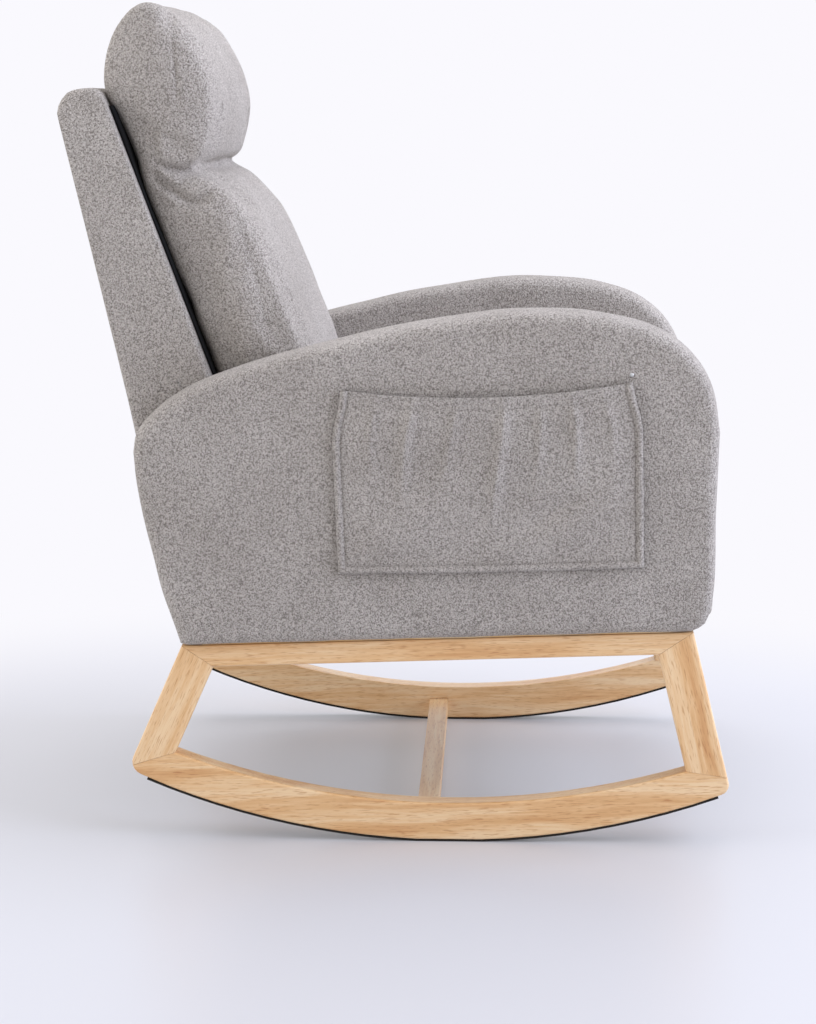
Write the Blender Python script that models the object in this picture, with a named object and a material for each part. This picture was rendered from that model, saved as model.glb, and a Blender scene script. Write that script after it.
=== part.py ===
"""Upholstered rocking chair on two mitred wooden side frames.

Metres, +Z up. The sitter faces -Y, and the sitter's right side is -X.
The chair is drawn level, in its own "chair frame": y = 0 lies under the centre of the
rocker arc and z = 0 is the arc's lowest point. Two empties at the end roll the whole
chair back by REST_TILT about the centre of that arc, to the way it stands at rest, and
centre it over the origin, with the floor at z = 0.
"""

import math

import bmesh
import bpy

# ------------------------------------------------------------------ driving dimensions

CLEAR = 0.0003                      # gap between pieces that touch
MARGIN = 0.010                      # cutters run this far past what they cut

REST_TILT = math.radians(2.0)       # front up, as it stands with nobody in it

# overall
HALF_WIDTH = 0.340                  # outer faces of the arms
RAIL_TOP = 0.2565                   # top of the wooden side frames
RAIL_REAR = 0.352                   # their outer top corners
RAIL_FRONT = -0.271
ARM_TOP = 0.650
BACK_TOP = 0.931

# wooden side frames
ARM_OVERHANG = 0.015                # arm's outer face, past the frame's
BOARD = 0.030                       # thickness of the frame boards
BOARD_EDGE = 0.0025                 # rounding of their long edges
RAIL_HEIGHT = 0.027
REAR_SPLAY = math.radians(25.8)     # legs' lean from vertical
FRONT_SPLAY = math.radians(11.8)
REAR_LEG_WIDTH = 0.0455
FRONT_LEG_WIDTH = 0.0475
ROCKER_RADIUS = 0.955               # underside of the glide strip
ROCKER_DEPTH = 0.0496               # board and strip, at the arc's lowest point
ROCKER_TAPER = 0.020                # its top edge's radius is longer by this
ROCKER_TOP_SHIFT = -0.005           # the top arc's centre, ahead of the bottom one's
REAR_TOE_RADIUS = 0.017             # rounded ends of the rocker
FRONT_TOE_RADIUS = 0.013
REAR_MITRE_RISE = 0.004             # mitre's outer end, above the sharp corner
FRONT_MITRE_RISE = 0.018
STRIP = 0.0025                      # black glide strip under the rocker
STRIP_INSET = 0.002                 # its edge, in from the board's faces
STRIP_FRONT_SETBACK = math.radians(1.0)     # its ends, in from the rocker's sharp corners
STRIP_REAR_SETBACK = math.radians(1.6)
REST_FLAT = 0.080                   # flat in the strip, on which the chair comes to rest
ARC_STEP = math.radians(1.9)

# lower cross bar
STRETCHER_Y = 0.060
STRETCHER_TOP = 0.034
STRETCHER_WIDTH = 0.026
STRETCHER_HEIGHT = 0.019
STRETCHER_EDGE = 0.0015
STRETCHER_TENON = 0.012             # its ends sit this deep in the rockers

# arms
ARM_THICKNESS = 0.090
ARM_ROUNDING = 0.014
ARM_REAR_OVERHANG = 0.044           # past the rail's corners
ARM_FRONT_OVERHANG = 0.038
ARM_FOOT_SETBACK = 0.005            # its underside's ends, in from the rail's corners
ARM_LIFT = 0.002                    # underside of the upholstery, above the rail
ARM_PADDING = 0.022                 # foam over the edge of the arm panel
ARM_FOAM = 0.012                    # over the arm's inner face, where it is hollow or posted
PANEL = 0.018
WINDOW_REAR = 0.106                 # cut out of the panel: in from the arm's rear
WINDOW_LENGTH = 0.200
WINDOW_RISE = 0.0515                # its bottom, above the sill
WINDOW_DROP = 0.150                 # its top, below the crest
WINDOW_CORNER = 0.020
SILL_WIDTH = 0.040
SILL_HEIGHT = 0.035
SILL_SETBACK = 0.026                # its ends, in from the rail's corners
POST_DEPTH = 0.060
POST_SETBACK = 0.026                # its front, ahead of the sill's end
POST_DROP = 0.090                   # its top, below the crest
HOLLOW_LENGTH = 0.326               # the arm is hollow this far ahead of the sill's rear end
HOLLOW_DROP = 0.140

# side pockets
POCKET_FRONT_INSET = 0.103          # in from the arm's front and rear
POCKET_REAR_INSET = 0.240
POCKET_RISE = 0.0845                # its bottom seam, above the upholstery's underside
POCKET_DROP = 0.083                 # its mouth's corners, below the crest
POCKET_SAG = 0.013
POCKET_LEAN = 0.017                 # the rear seam leans in by this at the mouth
POCKET_CLOTH = 0.0025
POCKET_ROOM = 0.008                 # free depth behind the cloth
POCKET_SEAM = 0.007
POCKET_EDGE = 0.0015
TACK_RADIUS = 0.0026
TACK_HEIGHT = 0.0017
TACK_SHANK = 0.0009
TACK_LENGTH = 0.010
TACK_RISE = 0.006                   # above the mouth's front corner
TACK_INSET = 0.004                  # behind the front seam

# seat
SEAT_GAP = 0.0015                   # from what sits between the arms to their faces
SEAT_SETBACK = 0.009                # front face of the apron, behind the arms' front
SEAT_RAIL = 0.025
FRONT_RAIL = 0.038                  # the front rail is the thicker one
SEAT_RAIL_HEIGHT = 0.076
APRON = 0.015
APRON_EDGE = 0.006
DUST_COVER = 0.0015
SPRINGS = 4
SPRING_WIRE = 0.0036
SPRING_SWING = 0.020                # half the width of its zigzag
SPRING_PITCH = 0.046
SPRING_ARCH = 0.010
SPRING_HOLD = 0.010                 # its ends lie on the rails by this much
SPRING_TURN_POINTS = 6
DECK = 0.015
SEAT_CUSHION = 0.100
SEAT_CUSHION_LIP = 0.006            # its nose leans out past the apron by this
CUSHION_CROWN = 0.004               # its rear is lower than its middle by this
CUSHION_EDGE = 0.014                # rounding of its side edges
CUSHION_CORNER = 0.018              # roundings seen from the side
CUSHION_NOSE = 0.034

# back
BACK_REAR_OVERHANG = 0.0125         # the upholstery's rear foot, past the rail's corner
SEAT_REAR_INSET = 0.0395            # the rear seat rail, in from that foot
REAR_LEAN = math.radians(9.55)
FRONT_LEAN = math.radians(18.5)
BACK_TOP_DEPTH = 0.0499             # front plane to rear plane, at the top
BACK_FRONT_CORNER = 0.014
BACK_REAR_CORNER = 0.022
BACK_EDGE = 0.010
SHELL_WALL = 0.008                  # foam and cloth round the back's frame
SHELL_TOP_WALL = 0.012
SHELL_REACH = 0.020                 # the hollow's cutter runs out of the front by this
STILE_DEPTH = 0.022
STILE_WIDTH = 0.040
BACK_RAIL = 0.045                   # height of the back's cross rails
BACK_RAIL_RISE = 0.085              # the lower one, above the stiles' feet
LINER = 0.002
BACK_GAP = 0.009                    # dark gap behind the cushions
CUSHION_GAP = 0.001                 # back cushion to seat cushion and to headrest
BACK_CUSHION_DROP = 0.105           # its top, below the back's
BACK_CUSHION_DEPTH = 0.120
BACK_CUSHION_SIDE_GAP = 0.0075      # its ends, in from the back's sides
BACK_CUSHION_EDGE = 0.022
HEADREST_SIDE_GAP = 0.0145
HEADREST_DEPTH = 0.135              # in front of the back's front top edge
HEADREST_HEIGHT = 0.205
HEADREST_EDGE = 0.024
CUSHION_SKIN = 0.010                # cover and wadding round the loose fibre fill
ZIP_HEIGHT = (0.020, 0.075)         # opening in the headrest's rear, above its foot

# bolts
BOLT_RADIUS = 0.004
BOLT_HEAD_RADIUS = 0.0075
BOLT_HEAD = 0.005
BOLT_CHAMFER = 0.0008
BOLT_GRIP = 0.026                   # thread inside the piece it screws into
BOLT_SLACK = 0.0005                 # radial clearance in every hole
BOLT_SINK = 0.001                   # heads under the rail sit this deep
BASE_BOLT_INSET = 0.060             # from the sill's ends
ARM_BOLT_INSET = 0.140              # from the seat box's ends
BACK_BOLT_RISE = 0.045

# ---------------------------------------------------------------------- derived places

FRAME_HALF_WIDTH = HALF_WIDTH - ARM_OVERHANG
FRAME_X = FRAME_HALF_WIDTH - BOARD / 2
BASE = RAIL_TOP + ARM_LIFT          # underside of the upholstery
ARM_REAR = RAIL_REAR + ARM_REAR_OVERHANG
ARM_FRONT = RAIL_FRONT - ARM_FRONT_OVERHANG
INNER = HALF_WIDTH - ARM_THICKNESS  # arms' inner faces
SEAT_HALF_WIDTH = INNER - SEAT_GAP
SEAT_FRONT = ARM_FRONT + SEAT_SETBACK
SEAT_RAIL_BOTTOM = BASE + DUST_COVER + CLEAR
SEAT_RAIL_TOP = SEAT_RAIL_BOTTOM + SEAT_RAIL_HEIGHT
DECK_BOTTOM = SEAT_RAIL_TOP + SPRING_WIRE + SPRING_ARCH + 3 * CLEAR
DECK_TOP = DECK_BOTTOM + DECK
CUSHION_BOTTOM = DECK_TOP + CLEAR
CUSHION_TOP = CUSHION_BOTTOM + SEAT_CUSHION
BACK_REAR_FOOT = RAIL_REAR + BACK_REAR_OVERHANG
SEAT_REAR = BACK_REAR_FOOT - SEAT_REAR_INSET
BACK_FRONT_TOP = BACK_REAR_FOOT + (BACK_TOP - BASE) * math.tan(REAR_LEAN) - BACK_TOP_DEPTH
BACK_CUSHION_TOP = BACK_TOP - BACK_CUSHION_DROP
POCKET_FRONT = ARM_FRONT + POCKET_FRONT_INSET
POCKET_REAR = ARM_REAR - POCKET_REAR_INSET
POCKET_BOTTOM = BASE + POCKET_RISE
POCKET_TOP = ARM_TOP - POCKET_DROP
SIDES = (("right", -1), ("left", 1))

# --------------------------------------------------------------------------- materials


def material(name, colour, roughness, metallic=0.0):
    """A Principled material with one colour."""
    mat = bpy.data.materials.new(name)
    mat.use_nodes = True
    shader = mat.node_tree.nodes["Principled BSDF"]
    shader.inputs["Base Color"].default_value = (*colour, 1.0)
    shader.inputs["Roughness"].default_value = roughness
    shader.inputs["Metallic"].default_value = metallic
    return mat


for old in list(bpy.data.objects):
    bpy.data.objects.remove(old)

RUBBERWOOD = material("rubberwood", (0.74, 0.49, 0.25), 0.45)
FLEECE = material("grey_fleece", (0.36, 0.33, 0.31), 0.95)
BLACK_FELT = material("black_felt", (0.012, 0.012, 0.013), 0.9)
PINE = material("pine", (0.68, 0.52, 0.33), 0.7)
PLYWOOD = material("plywood", (0.62, 0.46, 0.28), 0.7)
NONWOVEN = material("black_nonwoven", (0.015, 0.015, 0.016), 0.95)
ZINC = material("zinc_plated_steel", (0.62, 0.62, 0.60), 0.35, 1.0)
SPRING_STEEL = material("spring_steel", (0.30, 0.30, 0.31), 0.4, 1.0)

# ---------------------------------------------------------------- shapes in the Y-Z plane


def arc(centre, radius, start, end, steps):
    """Points of a circle's arc; angles are counted from straight down, towards +Y."""
    angles = [start + (end - start) * i / steps for i in range(steps + 1)]
    return [(centre[0] + radius * math.sin(a), centre[1] - radius * math.cos(a)) for a in angles]


def smooth(points, steps=4):
    """A Catmull-Rom curve through the points."""
    curve = []
    for i in range(len(points) - 1):
        a, b, c, d = (points[min(max(i + k, 0), len(points) - 1)] for k in (-1, 0, 1, 2))
        for j in range(steps):
            t = j / steps
            curve.append(tuple(
                0.5 * (2 * q + (r - p) * t + (2 * p - 5 * q + 4 * r - s) * t ** 2
                       + (3 * q - p - 3 * r + s) * t ** 3)
                for p, q, r, s in zip(a, b, c, d)))
    return curve + [points[-1]]


def fillet(before, corner, after, radius, steps=5):
    """The corner of two straight lines, rounded by an arc that touches both."""
    def unit(p, q):
        length = math.dist(p, q)
        return ((q[0] - p[0]) / length, (q[1] - p[1]) / length)
    u, v = unit(corner, before), unit(corner, after)
    half = math.acos(max(-1, min(1, u[0] * v[0] + u[1] * v[1]))) / 2
    bisector = unit((0, 0), (u[0] + v[0], u[1] + v[1]))
    middle = tuple(c + b * radius / math.sin(half) for c, b in zip(corner, bisector))
    reach = radius / math.tan(half)
    start = math.atan2(corner[1] + u[1] * reach - middle[1], corner[0] + u[0] * reach - middle[0])
    end = math.atan2(corner[1] + v[1] * reach - middle[1], corner[0] + v[0] * reach - middle[0])
    turn = (end - start + math.pi) % (2 * math.pi) - math.pi
    return [(middle[0] + radius * math.cos(start + turn * i / steps),
             middle[1] + radius * math.sin(start + turn * i / steps)) for i in range(steps + 1)]


def rounded(corners):
    """A polygon of (y, z, radius) corners, with each corner rounded by its radius."""
    outline = []
    for i, (y, z, radius) in enumerate(corners):
        if radius:
            outline += fillet(corners[i - 1][:2], (y, z), corners[(i + 1) % len(corners)][:2], radius)
        else:
            outline.append((y, z))
    return outline


def clip(outline, point, normal, shift=0.0):
    """The part of a polygon on the side of a line that the normal points to."""
    def side(p):
        return (p[0] - point[0]) * normal[0] + (p[1] - point[1]) * normal[1] - shift
    kept = []
    for p, q in zip(outline, outline[1:] + outline[:1]):
        a, b = side(p), side(q)
        if a >= 0:
            kept.append(p)
        if a * b < 0:
            t = a / (a - b)
            kept.append((p[0] + (q[0] - p[0]) * t, p[1] + (q[1] - p[1]) * t))
    return kept


def inset(outline, distance):
    """A smooth closed outline moved inwards (outwards if negative) along its normals."""
    area = sum(p[0] * q[1] - q[0] * p[1] for p, q in zip(outline, outline[1:] + outline[:1]))
    turn = distance if area > 0 else -distance
    moved = []
    for before, here, after in zip(outline[-1:] + outline[:-1], outline, outline[1:] + outline[:1]):
        run, rise = after[0] - before[0], after[1] - before[1]
        length = math.hypot(run, rise)
        moved.append((here[0] - rise * turn / length, here[1] + run * turn / length))
    return moved


def line_normal(p, q):
    """Unit normal of the line from p to q, on its left."""
    length = math.dist(p, q)
    return (-(q[1] - p[1]) / length, (q[0] - p[0]) / length)


# ------------------------------------------------------------------------ solid makers

tilt_pivot = bpy.data.objects.new("tilt_pivot", None)
chair = bpy.data.objects.new("chair", None)
chair.parent = tilt_pivot
for empty in (tilt_pivot, chair):
    bpy.context.scene.collection.objects.link(empty)


def place(name, data, mat, location=(0, 0, 0), rotation=(0, 0, 0)):
    """Puts a mesh or curve in the scene as a piece of the chair."""
    obj = bpy.data.objects.new(name, data)
    bpy.context.scene.collection.objects.link(obj)
    obj.parent = chair
    obj.location = location
    obj.rotation_euler = rotation
    if mat and not data.materials:
        data.materials.append(mat)
    return obj


def prism_mesh(name, outline, thickness, edge=0.0, segments=2, square=()):
    """A Y-Z outline extruded along X, with its face edges rounded.

    square holds (point, normal) lines: an outline edge on one of them is a joint face, and
    keeps sharp edges.
    """
    bm = bmesh.new()
    near = [bm.verts.new((-thickness / 2, y, z)) for y, z in outline]
    far = [bm.verts.new((thickness / 2, y, z)) for y, z in outline]
    bm.faces.new(near)
    bm.faces.new(far[::-1])
    for i in range(len(outline)):
        j = (i + 1) % len(outline)
        bm.faces.new((near[j], near[i], far[i], far[j]))
    bmesh.ops.recalc_face_normals(bm, faces=bm.faces)
    if edge:
        def on_joint(i):
            ends = (outline[i], outline[(i + 1) % len(outline)])
            return any(all(abs((p[0] - at[0]) * n[0] + (p[1] - at[1]) * n[1]) < 0.001 for p in ends)
                       for at, n in square)
        soft = [bm.edges.get((ring[i], ring[(i + 1) % len(outline)]))
                for ring in (near, far) for i in range(len(outline)) if not on_joint(i)]
        bmesh.ops.bevel(bm, geom=soft, offset=edge, segments=segments, profile=0.5,
                        affect="EDGES", clamp_overlap=True)
    mesh = bpy.data.meshes.new(name)
    bm.to_mesh(mesh)
    bm.free()
    mesh.shade_smooth()
    mesh.set_sharp_from_angle(angle=math.radians(30))
    return mesh


def prism(name, outline, x, thickness, mat, edge=0.0, segments=2, square=()):
    """A prism placed with its middle at x."""
    return place(name, prism_mesh(name, outline, thickness, edge, segments, square), mat, (x, 0, 0))


def block(name, x, y, z, mat, edge=0.0, segments=2):
    """A box from its (low, high) ranges along the three axes."""
    outline = [(y[0], z[0]), (y[1], z[0]), (y[1], z[1]), (y[0], z[1])]
    return prism(name, outline, (x[0] + x[1]) / 2, x[1] - x[0], mat, edge, segments)


def turned(name, profile, mat, location, rotation=(0, 0, 0), sides=12):
    """A solid turned about its own Z from (radius, height) points, bottom to top."""
    bm = bmesh.new()
    rings = []
    for radius, height in profile:
        rings.append([bm.verts.new((radius * math.cos(2 * math.pi * k / sides),
                                    radius * math.sin(2 * math.pi * k / sides), height))
                      for k in range(sides)])
    for low, high in zip(rings, rings[1:]):
        for k in range(sides):
            bm.faces.new((low[k], low[(k + 1) % sides], high[(k + 1) % sides], high[k]))
    bm.faces.new(rings[0][::-1])
    bm.faces.new(rings[-1])
    bmesh.ops.recalc_face_normals(bm, faces=bm.faces)
    mesh = bpy.data.meshes.new(name)
    bm.to_mesh(mesh)
    bm.free()
    mesh.shade_smooth()
    mesh.set_sharp_from_angle(angle=math.radians(40))
    return place(name, mesh, mat, location, rotation)


def cut(target, *cutters):
    """Takes the cutters' shapes out of the target."""
    for cutter in cutters:
        cutter.hide_render = True
        cutter.display_type = "WIRE"
        boolean = target.modifiers.new(cutter.name, "BOOLEAN")
        boolean.operation = "DIFFERENCE"
        boolean.object = cutter


def bolt(name, start, direction, length, through):
    """A socket-head bolt from its seat at start, and its holes in the pieces it goes through.

    The head stands on the outer side of the seat; the shank runs along direction.
    """
    turn = {"+Z": (0, 0, 0), "+X": (0, math.pi / 2, 0), "-X": (0, -math.pi / 2, 0),
            "+Y": (-math.pi / 2, 0, 0)}[direction]
    socket, depth, chamfer = BOLT_HEAD_RADIUS * 0.5, BOLT_HEAD * 0.6, BOLT_CHAMFER
    profile = [(socket, depth - BOLT_HEAD), (socket, -BOLT_HEAD),
               (BOLT_HEAD_RADIUS - chamfer, -BOLT_HEAD), (BOLT_HEAD_RADIUS, chamfer - BOLT_HEAD),
               (BOLT_HEAD_RADIUS, 0), (BOLT_RADIUS, 0), (BOLT_RADIUS, length - chamfer),
               (BOLT_RADIUS - chamfer, length)]
    turned(name, profile, ZINC, start, turn)
    for piece in through:
        drill = turned(f"{name}_hole_{piece.name}", [
            (BOLT_HEAD_RADIUS + 2 * BOLT_SLACK, -3 * BOLT_HEAD),
            (BOLT_HEAD_RADIUS + 2 * BOLT_SLACK, CLEAR),
            (BOLT_RADIUS + BOLT_SLACK, CLEAR), (BOLT_RADIUS + BOLT_SLACK, length + BOLT_RADIUS)],
            None, start, turn)
        cut(piece, drill)


# ----------------------------------------------------------------- wooden side frames


def on_arc(angle, radius):
    """A point of the rocker's arc; the angle is counted from straight down, towards +Y."""
    return (radius * math.sin(angle), ROCKER_RADIUS - radius * math.cos(angle))


def outer_corner(top_y, lean, radius):
    """Where a leg's outer line, leaning by lean from (top_y, RAIL_TOP), meets the arc."""
    dy, dz = math.sin(lean), -math.cos(lean)
    py, pz = top_y, RAIL_TOP - ROCKER_RADIUS
    along = py * dy + pz * dz
    t = -along + math.sqrt(along ** 2 - (py ** 2 + pz ** 2 - radius ** 2))
    return (top_y + dy * t, RAIL_TOP + dz * t)


WOOD_RADIUS = ROCKER_RADIUS - STRIP - CLEAR
TOP_RADIUS = ROCKER_RADIUS + ROCKER_TAPER
TOP_CENTRE = (ROCKER_TOP_SHIFT, ROCKER_DEPTH + TOP_RADIUS)
REAR_TOP = (RAIL_REAR, RAIL_TOP)
FRONT_TOP = (RAIL_FRONT, RAIL_TOP)
REAR_TOE = outer_corner(RAIL_REAR, REAR_SPLAY, WOOD_RADIUS)
FRONT_TOE = outer_corner(RAIL_FRONT, -FRONT_SPLAY, WOOD_RADIUS)


def bottom_angles():
    """Angles of the arc's corners: a flat under the rest pose, then even steps."""
    half_flat = math.asin(REST_FLAT / 2 / ROCKER_RADIUS)
    front, rear = REST_TILT - half_flat, REST_TILT + half_flat
    front_end = math.asin(FRONT_TOE[0] / WOOD_RADIUS) + STRIP_FRONT_SETBACK
    rear_end = math.asin(REAR_TOE[0] / WOOD_RADIUS) - STRIP_REAR_SETBACK
    front_steps = max(1, round((front - front_end) / ARC_STEP))
    rear_steps = max(1, round((rear_end - rear) / ARC_STEP))
    return ([front_end + (front - front_end) * i / front_steps for i in range(front_steps + 1)]
            + [rear + (rear_end - rear) * i / rear_steps for i in range(rear_steps + 1)])


def inner_point(top_y, lean, width, z):
    """A point of a leg's inner edge, at height z; lean is positive on the rear leg."""
    outer = top_y + (RAIL_TOP - z) * math.tan(lean)
    return (outer - math.copysign(width / math.cos(lean), lean), z)


def on_top_arc(top_y, lean, width):
    """Where a leg's inner edge meets the rocker's top arc."""
    low, high = RAIL_TOP - RAIL_HEIGHT, ROCKER_DEPTH
    for _ in range(50):
        z = (low + high) / 2
        if math.dist(inner_point(top_y, lean, width, z), TOP_CENTRE) < TOP_RADIUS:
            low = z
        else:
            high = z
    return inner_point(top_y, lean, width, z)


def frame_outline():
    """The side frame's outer edge: rail corners, rounded toes and the bottom arc."""
    angles = bottom_angles()
    reach = 2 * max(REAR_TOE_RADIUS, FRONT_TOE_RADIUS) / WOOD_RADIUS
    rear_limit = math.asin(REAR_TOE[0] / WOOD_RADIUS) - reach
    front_limit = math.asin(FRONT_TOE[0] / WOOD_RADIUS) + reach
    bottom = [on_arc(a, WOOD_RADIUS) for a in angles if front_limit < a < rear_limit]
    front = fillet(FRONT_TOP, FRONT_TOE, bottom[0], FRONT_TOE_RADIUS)
    rear = fillet(bottom[-1], REAR_TOE, REAR_TOP, REAR_TOE_RADIUS)
    return [FRONT_TOP] + front + bottom + rear + [REAR_TOP]


def side_frames():
    """Two closed frames: top rail, two legs and a rocker, mitred at all four corners."""
    outline = frame_outline()
    rear_in_top = inner_point(RAIL_REAR, REAR_SPLAY, REAR_LEG_WIDTH, RAIL_TOP - RAIL_HEIGHT)
    front_in_top = inner_point(RAIL_FRONT, -FRONT_SPLAY, FRONT_LEG_WIDTH, RAIL_TOP - RAIL_HEIGHT)
    rear_in = on_top_arc(RAIL_REAR, REAR_SPLAY, REAR_LEG_WIDTH)
    front_in = on_top_arc(RAIL_FRONT, -FRONT_SPLAY, FRONT_LEG_WIDTH)
    rear_out = (REAR_TOE[0] - REAR_MITRE_RISE * math.tan(REAR_SPLAY), REAR_TOE[1] + REAR_MITRE_RISE)
    front_out = (FRONT_TOE[0] + FRONT_MITRE_RISE * math.tan(FRONT_SPLAY),
                 FRONT_TOE[1] + FRONT_MITRE_RISE)

    # each mitre's normal points towards the leg
    rear_top = (rear_in_top, line_normal(REAR_TOP, rear_in_top))
    front_top = (front_in_top, line_normal(front_in_top, FRONT_TOP))
    rear_low = (rear_in, line_normal(rear_in, rear_out))
    front_low = (front_in, tuple(-n for n in line_normal(front_in, front_out)))
    joints = (rear_top, front_top, rear_low, front_low)
    half = CLEAR / 2

    def away(line):
        return (line[0], tuple(-n for n in line[1]))

    rail = clip(outline, (0, RAIL_TOP - RAIL_HEIGHT), (0, 1))
    rail = clip(clip(rail, *away(rear_top), half), *away(front_top), half)
    rear_leg = clip(clip(outline, *rear_top, half), *rear_low, half)
    rear_leg = clip(rear_leg, rear_in, line_normal(rear_in_top, rear_in))
    front_leg = clip(clip(outline, *front_top, half), *front_low, half)
    front_leg = clip(front_leg, front_in, line_normal(front_in, front_in_top))

    low = clip(clip(outline, *away(rear_low), half), *away(front_low), half)
    peak = max(range(len(low)), key=lambda i: low[i][1])
    start = math.asin((front_in[0] - TOP_CENTRE[0]) / TOP_RADIUS)
    end = math.asin((rear_in[0] - TOP_CENTRE[0]) / TOP_RADIUS)
    edge = half / TOP_RADIUS
    top_arc = arc(TOP_CENTRE, TOP_RADIUS, end - edge, start + edge, 22)
    rocker = low[:peak] + top_arc + low[peak + 1:]

    pieces = {"top_rail": rail, "front_leg": front_leg, "rear_leg": rear_leg, "rocker": rocker}
    made = {}
    for part, shape in pieces.items():
        mesh = prism_mesh(part, shape, BOARD, BOARD_EDGE, 2, joints)
        for side, sign in SIDES:
            own = mesh.copy()
            made[side, part] = place(f"{side}_{part}", own, RUBBERWOOD, (sign * FRAME_X, 0, 0))

    inner_edge = [on_arc(a, WOOD_RADIUS + CLEAR) for a in bottom_angles()]
    outer_edge = [on_arc(a, ROCKER_RADIUS) for a in bottom_angles()]
    strip = outer_edge + inner_edge[::-1]
    for side, sign in SIDES:
        prism(f"{side}_floor_strip", strip, sign * FRAME_X, BOARD - 2 * STRIP_INSET, BLACK_FELT)
    return made


def stretcher(frames):
    """The lower cross bar, its ends let into blind mortises in the rockers."""
    y = (STRETCHER_Y - STRETCHER_WIDTH / 2, STRETCHER_Y + STRETCHER_WIDTH / 2)
    z = (STRETCHER_TOP - STRETCHER_HEIGHT, STRETCHER_TOP)
    end = FRAME_HALF_WIDTH - BOARD + STRETCHER_TENON
    block("stretcher", (-end, end), y, z, RUBBERWOOD, STRETCHER_EDGE)
    room = end + CLEAR
    mortise = block("stretcher_mortise", (-room, room), (y[0] - CLEAR, y[1] + CLEAR),
                    (z[0] - CLEAR, z[1] + CLEAR), None)
    for side, _ in SIDES:
        cut(frames[side, "rocker"], mortise)


# ------------------------------------------------------------------------------- arms


def arm_outline():
    """The arm's side view: a sloping rear, a long crest and a full rounded front."""
    foot, height = BASE, ARM_TOP - BASE
    length = ARM_REAR - ARM_FRONT

    def at(along, up):
        return (ARM_FRONT + along * length, foot + up * height)
    foot_rear, foot_front = RAIL_REAR - ARM_FOOT_SETBACK, RAIL_FRONT + ARM_FOOT_SETBACK
    crest = smooth([
        at(0.985, 0.36), at(1.0, 0.60), at(0.972, 0.712), at(0.918, 0.785), at(0.83, 0.843),
        at(0.71, 0.902), at(0.54, 0.957), at(0.41, 0.987), at(0.32, 0.9995), at(0.235, 0.991),
        at(0.14, 0.956), at(0.062, 0.885), at(0.016, 0.765), at(0.0, 0.60), at(0.008, 0.36)], 3)
    return ([(foot_rear, foot)] + crest
            + [at(0.020, 0.10), at(0.033, 0.035), (foot_front - 2 * ARM_FOOT_SETBACK, foot + 0.003),
               (foot_front, foot)])


def arm(side, sign, rail):
    """A padded arm over a plywood panel on a timber sill, bolted through the wooden rail."""
    outline = arm_outline()
    pad = prism(f"{side}_arm_pad", outline, sign * (HALF_WIDTH - ARM_THICKNESS / 2),
                ARM_THICKNESS, FLEECE, ARM_ROUNDING, 3)
    y = (RAIL_FRONT + SILL_SETBACK, RAIL_REAR - SILL_SETBACK)
    z = (BASE, BASE + SILL_HEIGHT)
    x = (sign * FRAME_X - SILL_WIDTH / 2, sign * FRAME_X + SILL_WIDTH / 2)
    sill = block(f"{side}_arm_sill", x, y, z, PINE)
    panel_outline = clip(inset(outline, ARM_PADDING), (0, z[1] + CLEAR), (0, 1))
    panel = prism(f"{side}_arm_panel", panel_outline, sign * FRAME_X, PANEL, PLYWOOD)
    window_y = (ARM_REAR - WINDOW_REAR - WINDOW_LENGTH, ARM_REAR - WINDOW_REAR)
    cut(panel, block(f"{side}_panel_window", x, window_y, (z[1] + WINDOW_RISE, ARM_TOP - WINDOW_DROP),
                     None, WINDOW_CORNER))
    sill_room = block(f"{side}_sill_room", (x[0] - CLEAR, x[1] + CLEAR), (y[0] - CLEAR, y[1] + CLEAR),
                      (z[0] - MARGIN, z[1] + CLEAR), None)
    slot = clip(inset(outline, ARM_PADDING - CLEAR), (0, z[1] - MARGIN / 2), (0, 1))
    panel_room = prism(f"{side}_panel_room", slot, sign * FRAME_X, PANEL + 2 * CLEAR, None)

    # a timber post stiffens the front of the arm, and the rear of it is hollow
    foam = INNER + ARM_FOAM
    post_x = sorted((sign * (foam + CLEAR), sign * (FRAME_X - PANEL / 2 - CLEAR)))
    post_y = (y[0] - POST_SETBACK, y[0] - POST_SETBACK + POST_DEPTH)
    post_z = (z[1] + CLEAR, ARM_TOP - POST_DROP)
    block(f"{side}_arm_post", post_x, post_y, post_z, PINE)
    room_x = sorted((sign * foam, sign * FRAME_X))
    post_room = block(f"{side}_post_room", room_x, (post_y[0] - CLEAR, post_y[1] + CLEAR),
                      (post_z[0] - MARGIN, post_z[1] + CLEAR), None)
    hollow_rear = y[1] - 2 * MARGIN / 10
    hollow = block(f"{side}_hollow", room_x, (hollow_rear - HOLLOW_LENGTH, hollow_rear),
                   (z[0] - MARGIN, ARM_TOP - HOLLOW_DROP), None)
    cut(pad, sill_room, panel_room, post_room, hollow)

    seat_z = RAIL_TOP - RAIL_HEIGHT + BOLT_HEAD + BOLT_SINK
    for end, at in (("front", y[0] + BASE_BOLT_INSET), ("rear", y[1] - BASE_BOLT_INSET)):
        bolt(f"{side}_base_bolt_{end}", (sign * FRAME_X, at, seat_z), "+Z",
             BASE - seat_z + BOLT_GRIP, (rail, sill))
    return pad, sill


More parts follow.
